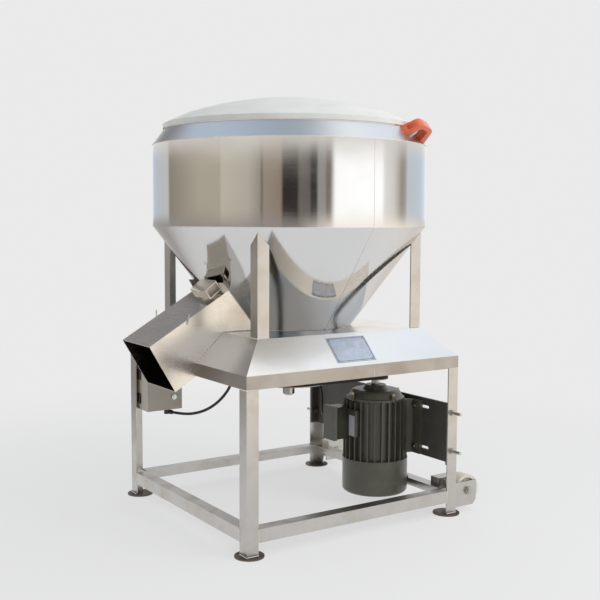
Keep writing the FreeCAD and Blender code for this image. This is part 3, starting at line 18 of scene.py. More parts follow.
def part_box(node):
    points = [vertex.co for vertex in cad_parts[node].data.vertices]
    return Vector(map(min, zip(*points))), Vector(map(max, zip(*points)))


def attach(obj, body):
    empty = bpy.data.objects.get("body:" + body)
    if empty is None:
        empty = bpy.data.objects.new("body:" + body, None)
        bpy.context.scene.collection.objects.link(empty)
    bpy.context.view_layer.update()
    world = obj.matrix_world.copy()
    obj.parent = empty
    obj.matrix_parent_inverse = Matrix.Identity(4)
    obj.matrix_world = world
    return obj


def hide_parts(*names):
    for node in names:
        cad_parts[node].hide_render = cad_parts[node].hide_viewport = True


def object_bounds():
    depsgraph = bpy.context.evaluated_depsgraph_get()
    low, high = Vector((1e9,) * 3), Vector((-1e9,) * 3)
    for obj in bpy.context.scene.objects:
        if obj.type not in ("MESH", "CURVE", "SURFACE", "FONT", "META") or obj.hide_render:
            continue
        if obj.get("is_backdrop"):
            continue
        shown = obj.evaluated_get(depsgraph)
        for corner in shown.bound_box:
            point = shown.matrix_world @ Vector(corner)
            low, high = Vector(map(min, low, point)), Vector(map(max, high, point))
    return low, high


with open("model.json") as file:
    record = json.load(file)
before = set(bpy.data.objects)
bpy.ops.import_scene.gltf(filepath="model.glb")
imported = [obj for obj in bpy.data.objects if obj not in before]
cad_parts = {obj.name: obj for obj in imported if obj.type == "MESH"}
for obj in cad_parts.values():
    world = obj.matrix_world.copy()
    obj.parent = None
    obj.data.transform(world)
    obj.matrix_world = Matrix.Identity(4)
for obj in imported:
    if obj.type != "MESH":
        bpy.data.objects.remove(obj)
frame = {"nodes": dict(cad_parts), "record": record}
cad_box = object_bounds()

MM = 0.001

scene = bpy.context.scene
nodes = frame["nodes"]
drum_low, drum_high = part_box("tank_drum")
AXIS = Vector(((drum_low.x + drum_high.x) / 2, (drum_low.y + drum_high.y) / 2, 0))
DRUM_RADIUS = (drum_high.x - drum_low.x) / 2
print("pieces from the frame:", len(nodes))
print("drum radius:", round(DRUM_RADIUS, 3), "m")

# %% [markdown]
# ## The camera
#
# A picture of a machine is usually taken from chest height and a few metres away, with
# a slightly long lens, so that uprights stay upright. The place, direction and lens
# below were worked out from the corners of the square frame, whose real size is known.
# The camera looks along its own -Z, so a direction becomes a turn with `to_track_quat`,
# and the tiny roll is one more turn about the same axis.

# %% Camera
CAMERA_PLACE = Vector((-1.71268, -2.68187, 0.96536))
CAMERA_AIM = Vector((0.55174, 0.82982, -0.08355))
CAMERA_ROLL = math.radians(0.241)
CAMERA_LENS = 57.18

camera_data = bpy.data.cameras.new("studio_camera")
camera_data.lens = CAMERA_LENS
camera_data.sensor_width = 36
camera = bpy.data.objects.new("studio_camera", camera_data)
scene.collection.objects.link(camera)
camera.rotation_mode = "QUATERNION"
camera.location = CAMERA_PLACE
camera.rotation_quaternion = (
    CAMERA_AIM.to_track_quat("-Z", "Y") @ Quaternion((0, 0, 1), CAMERA_ROLL))
scene.camera = camera
scene.view_settings.view_transform = "Standard"
print("camera:", CAMERA_LENS, "mm lens,", round(CAMERA_PLACE.length, 2), "m away")

# %% [markdown]
# ## Three small helpers for materials
#
# Colours are easiest to pick as sRGB hex values, but shaders work with linear light, so
# one function converts them. A second one adds a shader node, sets its properties and
# fills its sockets, with either a plain value or a link from another node. A third puts
# a list of colours on a ramp.


# %% Helpers for materials
def linear(hex_colour):
    """An sRGB hex colour as linear RGBA."""
    channels = [int(hex_colour[place:place + 2], 16) / 255 for place in (1, 3, 5)]
    return [c / 12.92 if c <= 0.04045 else ((c + 0.055) / 1.055) ** 2.4 for c in channels] + [1]


def add(tree, kind, settings=None, **sockets):
    """Add a node, set its properties, and fill its sockets with values or links."""
    made = tree.nodes.new(kind)
    for name, value in (settings or {}).items():
        setattr(made, name, value)
    for name, value in sockets.items():
        place = int(name[1:]) if name[0] == "_" else name.replace("_", " ")
        socket = made.inputs[place]
        if isinstance(value, bpy.types.NodeSocket):
            tree.links.new(value, socket)
        else:
            socket.default_value = value
    return made


def ramp(tree, factor, stops):
    """A colour ramp through (place, hex colour) stops."""
    made = add(tree, "ShaderNodeValToRGB", Fac=factor)
    band = made.color_ramp
    while len(band.elements) < len(stops):
        band.elements.new(0.5)
    for element, (place, colour) in zip(band.elements, stops):
        element.position = place
        element.color = linear(colour)
    return made.outputs["Color"]


print("the hex grey #808080 is", round(linear("#808080")[0], 3), "in linear light")

# %% [markdown]
# ## What bright metal sees
#
# Polished steel has almost no colour of its own: it shows the room. So the room is
# built first. Camera rays see one pale backdrop, but reflections see a studio: a cool
# wall behind, a warm wall on the left, a dark gap where the camera stands, and a white
# softbox at the right. Each list goes round the compass in degrees, with door frames
# and wall edges as narrow stops. Steel returns a little over half of the light, so each
# colour is written as the steel shows it, and the strength makes up for the rest.

# %% Colours of the studio
BACKDROP = "#EAEAEA"
STEEL_LOSS = 1.8
WALLS = [
    (-177, "#B5AE9E"), (-156, "#AAA498"), (-146, "#8E867A"), (-145, "#4A4440"),
    (-144, "#8E867A"), (-139, "#8D7E71"), (-129.5, "#857668"), (-128, "#1E1816"),
    (-116.5, "#1E1816"), (-115, "#645D58"), (-106, "#5A5553"), (-105.5, "#262322"),
    (-101, "#262322"), (-100, "#8B8884"), (-94, "#8B8580"), (-93, "#6B625A"),
    (-89.5, "#6B625A"), (-86, "#FEFEFE"), (-42, "#FEFEFE"), (-39, "#DAD8D5"),
    (-28, "#C9C5C0"), (-17.5, "#8C847D"), (-11.5, "#9C9B98"), (-9.5, "#B8BEC4"),
    (15, "#B2BAC5"), (56, "#C4C8CC"), (84, "#A2A9B4"), (119, "#B6B6B4"),
    (121, "#847C6F"), (160, "#A49D8D")]
GROUND = [
    (-180, "#8C8682"), (-115, "#8C8682"), (-85, "#F0E7DA"), (-20, "#F0E7DA"),
    (20, "#C0BBB5"), (80, "#8E8A88"), (180, "#8C8682")]
BARE_STRIP = "#CFCBC4"
WINDOWS = [
    (-180, "#C9C5BC"), (-95, "#D8D6D2"), (-60, "#F4F4F4"), (-20, "#E4E6E8"),
    (30, "#C4CAD2"), (62, "#989A9E"), (78, "#706E70"), (102, "#6C6966"),
    (125, "#B8B4AC"), (180, "#C9C5BC")]
print("stops round the walls:", len(WALLS), "ground:", len(GROUND), "windows:", len(WINDOWS))

# %% [markdown]
# The direction of a ray is turned into a compass angle with an arctangent, and a ramp
# turns the angle into the wall's colour. The ceiling can't go round the compass, because
# all angles meet overhead. Its ramp runs straight across the room instead, from -1 on the
# far side to 1 on the side of the long lamp.

# %% Walls, ground, windows and ceiling
CEILING = [
    (-1, "#C3CBD8"), (-0.6, "#B6C1D0"), (-0.25, "#A2AEBB"), (0, "#949EA6"),
    (0.28, "#A9AFB5"), (0.4, "#FCFCFA"), (0.53, "#FCFCFA"), (0.56, "#DCE3EC"),
    (1, "#DCE3EC")]
LAMP_SIDE = Vector((0.8298, -0.5517, 0))

world = bpy.data.worlds.new("pale_studio")
world.use_nodes = True
scene.world = world
sky = world.node_tree
sky.nodes.clear()
ray_way = add(sky, "ShaderNodeTexCoord").outputs["Generated"]
ray = add(sky, "ShaderNodeSeparateXYZ", Vector=ray_way)
compass = add(sky, "ShaderNodeMath", {"operation": "ARCTAN2"}, _0=ray.outputs["Y"],
              _1=ray.outputs["X"])
around = add(sky, "ShaderNodeMapRange", Value=compass.outputs[0], From_Min=-math.pi,
             From_Max=math.pi)


def round_the_compass(stops):
    """A ramp whose stops are placed by their angle, from -180 to 180 degrees."""
    places = [((angle + 180) / 360, colour) for angle, colour in stops]
    return ramp(sky, around.outputs[0], places)


to_lamp = add(sky, "ShaderNodeVectorMath", {"operation": "DOT_PRODUCT"}, _0=ray_way,
              _1=LAMP_SIDE)
crosswise = add(sky, "ShaderNodeMapRange", Value=to_lamp.outputs["Value"], From_Min=-1,
                From_Max=1)
walls = round_the_compass(WALLS)
ground = round_the_compass(GROUND)
windows = round_the_compass(WINDOWS)
ceiling = ramp(sky, crosswise.outputs[0], [((run + 1) / 2, colour) for run, colour in CEILING])
print("stops across the ceiling:", len(CEILING))

# %% [markdown]
# How far a ray climbs picks the layer of the room. Each pair below is where one layer
# fades into the next, as the sine of the angle above the horizon: from ground to wall at
# the horizon, then to the bare strip above the walls, the upper windows and the ceiling.

# %% Layers of the room
WALL_FOOT = (-0.004, 0.004)
WALL_TOP = (0.062, 0.085)
WINDOW_FOOT = (0.25, 0.3)
CEILING_EDGE = (0.55, 0.65)


def above(edge, below, higher):
    """Fade from one layer of the room to the next as a ray climbs past an edge."""
    climb = add(sky, "ShaderNodeMapRange", Value=ray.outputs["Z"], From_Min=edge[0],
                From_Max=edge[1])
    made = add(sky, "ShaderNodeMix", {"data_type": "RGBA"}, Factor=climb.outputs[0],
               _6=below, _7=higher)
    return made.outputs["Result"]


room = above(WALL_FOOT, ground, walls)
room = above(WALL_TOP, room, linear(BARE_STRIP))
room = above(WINDOW_FOOT, room, windows)
room = above(CEILING_EDGE, room, ceiling)
print("layers meet at", WALL_FOOT, WALL_TOP, WINDOW_FOOT, CEILING_EDGE)

# %% [markdown]
# Three kinds of ray get three answers. Reflections see the room, the camera sees the
# plain backdrop, and what is left gets an even fill, so that the painted and moulded
# pieces are lit alike from all sides and no wall tints them.

# %% What each kind of ray sees
SOFT_FILL = 0.62
light_path = add(sky, "ShaderNodeLightPath")
shiny = add(sky, "ShaderNodeMath", {"operation": "MAXIMUM"},
            _0=light_path.outputs["Is Glossy Ray"],
            _1=light_path.outputs["Is Transmission Ray"])
seen_room = add(sky, "ShaderNodeBackground", Color=room, Strength=STEEL_LOSS)
soft_fill = add(sky, "ShaderNodeBackground", Color=linear("#F4F6FA"), Strength=SOFT_FILL)
backdrop = add(sky, "ShaderNodeBackground", Color=linear(BACKDROP), Strength=1)
lit = add(sky, "ShaderNodeMixShader", _0=shiny.outputs[0], _1=soft_fill.outputs[0],
          _2=seen_room.outputs[0])
shown = add(sky, "ShaderNodeMixShader", _0=light_path.outputs["Is Camera Ray"],
            _1=lit.outputs[0], _2=backdrop.outputs[0])
add(sky, "ShaderNodeOutputWorld", Surface=shown.outputs[0])
print("nodes in the studio:", len(sky.nodes))

# %% [markdown]
# ## Lamps
#
# Two large rectangles light what is not metal: a key from the front right and a weaker
# one from above. Large lamps give soft edges to shadows. The room already shows the
# softbox to reflections, so the lamps themselves are hidden from them.


# %% Lamps
def softbox(name, place, aim, wide, power):
    """A square area lamp that reflections don't see. power is in watts."""
    lamp_data = bpy.data.lights.new(name, "AREA")
    lamp_data.size = wide
    lamp_data.energy = power
    lamp = bpy.data.objects.new(name, lamp_data)
    scene.collection.objects.link(lamp)
    lamp.location = place
    lamp.rotation_euler = (Vector(aim) - Vector(place)).to_track_quat("-Z", "Y").to_euler()
    lamp.visible_glossy = False
    print(name, power, "W,", wide, "m wide")


softbox("key_softbox", (1.6, -3.2, 2.3), (0, 0, 0.7), 1.8, 46)
softbox("top_softbox", (0.6, -0.4, 3.6), (0, 0, 1.0), 2.4, 20)

# %% [markdown]
# ## The floor
#
# A floor that stops at an edge shows a horizon. This one fades out instead: its
# material mixes towards a transparent shader with the distance from the machine, so
# only the stretch that catches the shadow is left, and the backdrop does the rest. To the
# camera it is also partly an even glow in the backdrop's colour, which keeps the shadow
# as pale as in a cut-out picture. Metal sees that glow a little brighter.

# %% Floor
FLOOR_HALF = 6.0
FADE_FROM = 0.9
FADE_TO = 2.6
EVEN_SHARE = 0.72
MORE_IN_METAL = 0.45

bpy.ops.object.select_all(action="DESELECT")
bpy.ops.mesh.primitive_plane_add(size=2 * FLOOR_HALF, location=(0, 0, 0))
floor = bpy.context.object
floor.name = "floor"
floor_finish = bpy.data.materials.new("pale_floor")
floor_finish.use_nodes = True
matt = floor_finish.node_tree
matt.nodes.clear()
from_middle = add(matt, "ShaderNodeVectorMath", {"operation": "LENGTH"},
                  _0=add(matt, "ShaderNodeTexCoord").outputs["Object"])
fade = add(matt, "ShaderNodeMapRange", {"interpolation_type": "SMOOTHSTEP"},
           Value=from_middle.outputs["Value"], From_Min=FADE_FROM, From_Max=FADE_TO)
which_ray = add(matt, "ShaderNodeLightPath")
in_metal = add(matt, "ShaderNodeMath", {"operation": "MULTIPLY_ADD"},
               _0=which_ray.outputs["Is Glossy Ray"], _1=MORE_IN_METAL, _2=1)
seen = add(matt, "ShaderNodeMath", {"operation": "MAXIMUM"},
           _0=which_ray.outputs["Is Camera Ray"], _1=which_ray.outputs["Is Glossy Ray"])
even_share = add(matt, "ShaderNodeMath", {"operation": "MULTIPLY"}, _0=seen.outputs[0],
                 _1=EVEN_SHARE)
paint = add(matt, "ShaderNodeBsdfDiffuse", Color=linear("#F4F4F4"))
even = add(matt, "ShaderNodeEmission", Color=linear(BACKDROP), Strength=in_metal.outputs[0])
near = add(matt, "ShaderNodeMixShader", _0=even_share.outputs[0], _1=paint.outputs[0],
           _2=even.outputs[0])
nothing = add(matt, "ShaderNodeBsdfTransparent")
faded = add(matt, "ShaderNodeMixShader", _0=fade.outputs[0], _1=near.outputs[0],
            _2=nothing.outputs[0])
add(matt, "ShaderNodeOutputMaterial", Surface=faded.outputs[0])
floor.data.materials.append(floor_finish)
floor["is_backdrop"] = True
print("floor fades from", FADE_FROM, "to", FADE_TO, "m")

# %% [markdown]
# ## Finishes
#
# Every finish starts from one function that makes the shader and hands back the object
# coordinates, which are metres here. Others turn noise into a slight unevenness of
# colour, gloss and height, because no real surface is quite even.


# %% Start of a finish
def new_finish(name, colour, rough, **values):
    """A material with one shader. Returns it, its tree, the shader and the coordinates."""
    finish = bpy.data.materials.new(name)
    finish.use_nodes = True
    tree = finish.node_tree
    tree.nodes.clear()
    shader = add(tree, "ShaderNodeBsdfPrincipled", Base_Color=linear(colour), Roughness=rough,
                 **values)
    add(tree, "ShaderNodeOutputMaterial", Surface=shader.outputs[0])
    spot = add(tree, "ShaderNodeTexCoord").outputs["Object"]
    return finish, tree, shader, spot


def noise(tree, spot, size, detail=3.0, stretch=None, turn=(0, 0, 0)):
    """Noise whose blotches are about size metres wide, stretched along an axis if asked."""
    if stretch:
        spot = add(tree, "ShaderNodeMapping", Vector=spot, Rotation=turn, Scale=stretch).outputs[0]
    made = add(tree, "ShaderNodeTexNoise", Vector=spot, Scale=1 / size, Detail=detail)
    return made.outputs["Fac"]


def span(tree, value, low, high, out_low, out_high):
    """Spread a value from one range over another."""
    return add(tree, "ShaderNodeMapRange", Value=value, From_Min=low, From_Max=high,
               To_Min=out_low, To_Max=out_high).outputs[0]


def blend_colours(tree, factor, first, second):
    """Mix two colours, given as hex values or as links."""
    first = linear(first) if isinstance(first, str) else first
    second = linear(second) if isinstance(second, str) else second
    made = add(tree, "ShaderNodeMix", {"data_type": "RGBA"}, Factor=factor, _6=first, _7=second)
    return made.outputs["Result"]


def raise_surface(tree, shader, layers):
    """Stack bumps. Each layer is a height from 0 to 1 and its depth in metres."""
    normal = None
    for height, depth in layers:
        bump = add(tree, "ShaderNodeBump", Strength=1, Distance=depth, Height=height)
        if normal:
            tree.links.new(normal, bump.inputs["Normal"])
        normal = bump.outputs[0]
    tree.links.new(normal, shader.inputs["Normal"])


print("finishes so far:", len(bpy.data.materials))

# %% [markdown]
# ## Stainless steel
#
# The tank, hood and chute are cold-rolled sheet, the frame is hot-rolled angle that was
# pickled. Both are stainless steel: a metal of a slightly warm grey. The sheet is bright,
# with fine rolling lines along its length and a slow waviness from being rolled into a
# cone, and that waviness is what makes its reflections wander. The angle is satin, with
# mill marks along it. Beside the welds the heat left a straw tint, so patches of warm
# colour are mixed in. Real rolling lines are a tenth of a millimetre apart, too fine to
# show, so they are drawn about a millimetre apart and very faint.

# %% Stainless finishes
# How often the rolling lines repeat in a metre, along each axis.
LINES_ROUND = (6, 6, 900)
LINES_UPRIGHT = (900, 900, 8)
LINES_DOWN_CHUTE = (10, 10, 600)
CHUTE_SLOPE = math.radians(30.5)

CLOUD_SIZE = 220 * MM
RIPPLE_SIZE = 120 * MM
CLOUD_GREY = "#A9ABAD"
STAIN_DULLS = 0.25


def stainless(name, colour, rough, lines, turn=(0, 0, 0), wave=0.4, stain=0.0, stain_size=0.16,
              clouds=0.35, streaks=0.14, rust="#B3A48C", groove=0.02):
    """Rolled stainless. wave and groove are the depths in mm of its waviness and its lines."""
    finish, tree, shader, spot = new_finish(name, colour, rough, Metallic=1)
    streak = noise(tree, spot, 1, 2, lines, turn)
    cloud = noise(tree, spot, CLOUD_SIZE, 4)
    patch = noise(tree, spot, stain_size, 5)
    tint = span(tree, patch, 0.45, 0.75, 0, stain)
    cast = blend_colours(tree, span(tree, cloud, 0.3, 0.7, 0, clouds), colour, CLOUD_GREY)
    tree.links.new(blend_colours(tree, tint, cast, rust), shader.inputs["Base Color"])
    gloss = add(tree, "ShaderNodeMath", {"operation": "MULTIPLY_ADD"}, _0=streak, _1=streaks,
                _2=rough - streaks / 2)
    dull = add(tree, "ShaderNodeMath", {"operation": "MULTIPLY_ADD"}, _0=tint, _1=STAIN_DULLS,
               _2=gloss.outputs[0])
    tree.links.new(dull.outputs[0], shader.inputs["Roughness"])
    ripple = noise(tree, spot, RIPPLE_SIZE, 1)
    raise_surface(tree, shader, [(ripple, wave * MM), (streak, groove * MM)])
    return finish


# Bright annealed sheet: a soft mirror, so the tank shows the room in tall bands.
tank_sheet = stainless(
    "bright_stainless_tank", "#C8C8C8", 0.07, LINES_ROUND, wave=0.22, stain=0.12,
    clouds=0.15, streaks=0.05, groove=0.003)
# Cold-rolled sheet: brighter than satin, but it only hints at what stands beside it.
hood_sheet = stainless(
    "bright_stainless_hood", "#CDCCCA", 0.2, LINES_ROUND, wave=0.35, stain=0.2,
    clouds=0.15, groove=0.006)
# Sheet rubbed with a fine belt: an even satin that shows no shapes at all.
shoulder_sheet = stainless(
    "satin_stainless_shoulder", "#C2C4C7", 0.34, LINES_ROUND, wave=0.3, stain=0.05,
    clouds=0.15, streaks=0.08)
# Sheet that meal has slid over: its lines run down the slope, and it is stained.
chute_sheet = stainless(
    "bright_stainless_chute", "#D2CEC8", 0.24, LINES_DOWN_CHUTE, (0, CHUTE_SLOPE, 0),
    wave=0.6, stain=0.5, stain_size=0.12, clouds=0.2, groove=0.01)
# Pickled hot-rolled angle: pale, dull and patchy, with lines along each leg or rail.
frame_angle = stainless(
    "pickled_stainless_angle", "#B4B1AD", 0.3, LINES_UPRIGHT, wave=0.2, stain=0.35,
    stain_size=0.05, rust="#A4947E")
rail_angle = stainless(
    "pickled_stainless_rail", "#BAB7B3", 0.32, LINES_ROUND, wave=0.2, stain=0.35,
    stain_size=0.06, rust="#A49480")
# The same angle after years of washing: darker and browner.
ring_angle = stainless(
    "weathered_stainless_ring", "#99938D", 0.3, LINES_ROUND, wave=0.3, stain=0.4,
    stain_size=0.09, rust="#85786C")
print("finishes so far:", len(bpy.data.materials))

# %% [markdown]
# Inside the chute lies shade, and through the mouth it looks nearly black, so that shade is
# painted. The same finish can hold both: the place of a point in metres tells whether it
# lies inside the sheet, and there the steel's colour is mixed to a dark painted shade. The two
# distances are measured upright to the chute's floor and sideways from its middle.

# %% Painted shade inside the chute
CHUTE_HALF = 100 * MM
CHUTE_TALL = 166 * MM
MOUTH_TOP = Vector((-531.25, 0, 588)) * MM
CHUTE_UP = Vector((-math.sin(CHUTE_SLOPE), 0, math.cos(CHUTE_SLOPE)))
SHEET_SKIN = 0.8 * MM
# Painted shade: this dark colour stands for the shade inside the chute.
MEAL_DUST = "#6A6058"

dust = chute_sheet.node_tree
dust_shader = next(node for node in dust.nodes if node.type == "BSDF_PRINCIPLED")
dust_spot = add(dust, "ShaderNodeTexCoord").outputs["Object"]


def nearer_than(distance, limit):
    """One where a distance, on either side of zero, is less than a limit."""
    either_side = add(dust, "ShaderNodeMath", {"operation": "ABSOLUTE"}, _0=distance)
    made = add(dust, "ShaderNodeMath", {"operation": "LESS_THAN"}, _0=either_side.outputs[0],
               _1=limit)
    return made.outputs[0]


upright = add(dust, "ShaderNodeVectorMath", {"operation": "DOT_PRODUCT"}, _0=dust_spot,
              _1=CHUTE_UP)
off_middle = add(dust, "ShaderNodeMath", {"operation": "SUBTRACT"},
                 _0=upright.outputs["Value"], _1=MOUTH_TOP.dot(CHUTE_UP) - CHUTE_TALL / 2)
sideways = add(dust, "ShaderNodeSeparateXYZ", Vector=dust_spot).outputs["Y"]
inside = add(dust, "ShaderNodeMath", {"operation": "MULTIPLY"},
             _0=nearer_than(off_middle.outputs[0], CHUTE_TALL / 2 - SHEET_SKIN),
             _1=nearer_than(sideways, CHUTE_HALF - SHEET_SKIN))
clean_colour = dust_shader.inputs["Base Color"].links[0].from_socket
# Painted shade: the inside of the sheet is mixed to the dark shade colour.
dusty_colour = blend_colours(dust, inside.outputs[0], clean_colour, MEAL_DUST)
dust.links.new(dusty_colour, dust_shader.inputs["Base Color"])
print("painted shade inside:", round(2000 * CHUTE_HALF), "by", round(1000 * CHUTE_TALL), "mm")

# %% [markdown]
# ## Plastics, rubber, paint and plated metal
#
# Moulded plastic shows the fine spark-eroded texture of its mould. Enamel on a casting
# keeps some of the sand's unevenness below it, while enamel on sheet is smooth. A metal
# without a coat keeps the marks of the lathe or of the bath it was plated in. Each
# function takes the size of that grain in millimetres and its depth.


# %% How plastic, paint and bare metal are made
def moulded(name, colour, rough, grain, depth, mottle="#FFFFFF", share=0.15, **values):
    """Moulded plastic or rubber with a fine grain and a slight unevenness of colour."""
    finish, tree, shader, spot = new_finish(name, colour, rough, **values)
    cloud = noise(tree, spot, 80 * MM, 3)
    tone = blend_colours(tree, span(tree, cloud, 0.35, 0.7, 0, share), colour, mottle)
    tree.links.new(tone, shader.inputs["Base Color"])
    gloss = span(tree, cloud, 0.3, 0.7, rough - 0.06, rough + 0.06)
    tree.links.new(gloss, shader.inputs["Roughness"])
    raise_surface(tree, shader, [(noise(tree, spot, grain * MM, 2), depth * MM)])
    return finish


def enamel(name, colour, rough, sand, depth, worn="#8C8D84", edge=0.1):
    """Sprayed enamel over metal, dusty in patches."""
    finish, tree, shader, spot = new_finish(name, colour, rough, IOR=1.5)
    dirt = noise(tree, spot, 50 * MM, 6)
    tone = blend_colours(tree, span(tree, dirt, 0.5, 0.85, 0, edge * 2.5), colour, worn)
    tree.links.new(tone, shader.inputs["Base Color"])
    tree.links.new(span(tree, dirt, 0.3, 0.8, rough, rough + 0.2), shader.inputs["Roughness"])
    raise_surface(tree, shader, [(noise(tree, spot, sand * MM, 3), depth * MM)])
    return finish


def bare_metal(name, colour, rough, grain, depth, share=1.0):
    """Turned, plated or cast metal without a coat. share is how much its colour wanders."""
    finish, tree, shader, spot = new_finish(name, colour, rough, Metallic=1)
    cloud = noise(tree, spot, 20 * MM, 4)
    gloss = span(tree, cloud, 0.3, 0.7, rough - 0.08, rough + 0.1)
    tree.links.new(gloss, shader.inputs["Roughness"])
    tone = blend_colours(tree, span(tree, cloud, 0, 1, 0, share), colour, "#8F8D88")
    tree.links.new(tone, shader.inputs["Base Color"])
    raise_surface(tree, shader, [(noise(tree, spot, grain * MM, 2), depth * MM)])
    return finish


THREAD_SPACING = 0.8 * MM


def belt_cloth(name):
    """The woven cotton cover of a V belt, soaked in rubber."""
    finish, tree, shader, spot = new_finish(name, "#17181A", 0.75)
    weave = add(tree, "ShaderNodeTexVoronoi", {"feature": "F1"}, Vector=spot,
                Scale=1 / THREAD_SPACING)
    tone = blend_colours(tree, weave.outputs["Distance"], "#0F1011", "#2B2C2D")
    tree.links.new(tone, shader.inputs["Base Color"])
    raise_surface(tree, shader, [(weave.outputs["Distance"], 0.15 * MM)])
    return finish


print("threads of the belt's cover:", round(THREAD_SPACING / MM, 1), "mm apart")

# %% [markdown]
# Plastics and paints come first. A lid of glass-fibre polyester has a white gel coat
# with a soft, slightly patchy gloss. Polypropylene is dyed right through and waxy, and
# cast nylon is cream and a little rough from the lathe.

# %% Plastic, rubber and paint
lid_plastic = moulded(
    "moulded_white_polyester_lid", "#E9E8E4", 0.42, 1.2, 0.02, "#DAD9D2", 0.5, IOR=1.5)
orange_plastic = moulded(
    "moulded_orange_polypropylene", "#DC6036", 0.3, 0.8, 0.015, "#E88A66", 0.35)
black_plastic = moulded(
    "moulded_black_polyamide", "#1A1B1C", 0.48, 0.6, 0.02, "#333436", 0.2)
wheel_nylon = moulded("cast_cream_nylon", "#E2DDCC", 0.4, 2.0, 0.03, "#C7C0A8", 0.5, IOR=1.53)
# Rubber sheath: nearly black, with the faint shine of the extruder's nozzle.
cable_rubber = moulded("black_rubber_sheath", "#101112", 0.42, 0.5, 0.01, "#2A2B2C", 0.3)
# A clear lacquer over foil: pale and flat, without the glint of bare metal.
lacquered_plate = moulded("lacquered_alloy_rating_plate", "#C3C4CF", 0.4, 0.5, 0.004)
belt_cover = belt_cloth("woven_belt_cover")
# Thick glossy enamel over cast ribs, and thin dark primer over flat plate.
motor_enamel = enamel("olive_grey_enamel_on_castings", "#56554A", 0.27, 1.6, 0.06)
plate_primer = enamel(
    "dark_primer_on_steel_plate", "#4B4841", 0.42, 0.9, 0.03, "#6E675C", 0.16)
# Powder coat: an orange-peel texture with a dull shine.
panel_enamel = enamel("sand_textured_powder_coat", "#C8C0B1", 0.5, 1.1, 0.05, "#A89C86", 0.12)
bearing_enamel = enamel("blue_grey_enamel_on_castings", "#4C5961", 0.4, 1.5, 0.06)
print("finishes so far:", len(bpy.data.materials))

# %% [markdown]
# The bare metals differ in how bright and how yellow they are. Turned iron is dull and
# dark, zinc plate is pale and a little warm, chrome is a mirror, and a weld is brushed
# bright with a wire brush. The screws of the motor's end bell are zinc plated and then
# passivated, which leaves a yellow tint.

# %% Bare and plated metal
cast_iron = bare_metal("turned_cast_iron", "#7E7E80", 0.42, 0.9, 0.03)
turned_steel = bare_metal("turned_steel_shaft", "#B4B4B2", 0.26, 0.5, 0.008)
zinc = bare_metal("zinc_plated_steel", "#BDBCB4", 0.3, 0.4, 0.01)
chrome = bare_metal("polished_chrome", "#D8D9DA", 0.1, 1.5, 0.002)
plate_alloy = bare_metal("satin_aluminium_plate", "#A6ADBA", 0.28, 0.5, 0.008, 0.4)
etched_border = bare_metal("etched_grey_border", "#70747C", 0.5, 0.5, 0.004, 0.2)
weld_metal = bare_metal("brushed_weld_metal", "#D6D4CF", 0.34, 1.0, 0.05, 0.3)
disc_steel = bare_metal("weathered_steel_disc", "#5E5048", 0.5, 1.5, 0.05, 0.3)
brass_zinc = bare_metal("yellow_passivated_screw", "#C8A878", 0.32, 0.4, 0.01, 0.3)
print("finishes so far:", len(bpy.data.materials))

# %% [markdown]
# ## Dressing the frame's own pieces
#
# Each CAD piece arrives with a slot that names its finish. One table from slot to
# material dresses them all, and the few pieces whose sheet was rolled or folded another
# way get their own version of the steel.

# %% Materials on the frame's pieces
FINISH_OF_SLOT = {
    "stainless_angle": frame_angle, "stainless_sheet": tank_sheet, "lid_plastic": lid_plastic,
    "handle_plastic": orange_plastic, "motor_paint": motor_enamel, "plate_paint": plate_primer,
    "black_plastic": black_plastic, "belt_rubber": belt_cover, "cable_rubber": cable_rubber,
    "pulley_iron": cast_iron, "bearing_iron": bearing_enamel, "shaft_steel": turned_steel,
    "wheel_nylon": wheel_nylon, "plate_alloy": plate_alloy, "bolt_zinc": zinc,
    "panel_paint": panel_enamel, "lock_chrome": chrome}
FINISH_OF_PIECE = {
    "base_hood": hood_sheet, "chute": chute_sheet, "gate_guides": chute_sheet,
    "slide_gate": chute_sheet, "cross_beam": rail_angle, "tank_shoulder": shoulder_sheet,
    "foot_plates": disc_steel}
for side in ("front", "right", "rear", "left"):
    FINISH_OF_PIECE["lower_rail_" + side] = rail_angle
    FINISH_OF_PIECE["ring_" + side] = ring_angle
slot_of_piece = {part["node"]: part["material_slot"] for part in frame["record"]["subparts"]}
for name, piece in nodes.items():
    finish = FINISH_OF_PIECE.get(name, FINISH_OF_SLOT[slot_of_piece[name]])
    for slot in piece.material_slots:
        slot.material = finish
print("pieces dressed:", len(nodes), "with a finish of their own:", len(FINISH_OF_PIECE))

# %% [markdown]
# ## Modelling by hand, in code
#
# New pieces are made the way one makes them at the screen: add a primitive, go into
# edit mode, pick some faces, and extrude, inset or bevel them. The helpers do what the
# mouse would: let go of everything, pick faces by where they are, join pieces, give a
# sheet its wall, and put a finished piece's place into its mesh, so that its origin is
# the scene's.

# %% Helpers for modelling
SMOOTH_BELOW = math.radians(30)


def let_go():
    """Leave edit mode and deselect every object."""
    if bpy.context.mode != "OBJECT":
        bpy.ops.object.mode_set(mode="OBJECT")
    bpy.ops.object.select_all(action="DESELECT")


def take(piece):
    """Make one object the only chosen one."""
    let_go()
    piece.select_set(True)
    bpy.context.view_layer.objects.active = piece


def mesh_object(name, mesh):
    """A new object that shows a mesh."""
    made = bpy.data.objects.new(name, mesh)
    scene.collection.objects.link(made)
    return made


def pick_faces(piece, test):
    """In edit mode, select the faces whose centre and normal pass a test."""
    bpy.ops.mesh.select_mode(type="FACE")
    bpy.ops.mesh.select_all(action="DESELECT")
    shape = bmesh.from_edit_mesh(piece.data)
    for face in shape.faces:
        face.select_set(test(face.calc_center_median(), face.normal))
    bmesh.update_edit_mesh(piece.data)


def join(pieces):
    """Join pieces into the first of them."""
    let_go()
    for piece in pieces:
        piece.select_set(True)
    bpy.context.view_layer.objects.active = pieces[0]
    if len(pieces) > 1:
        bpy.ops.object.join()
    return pieces[0]


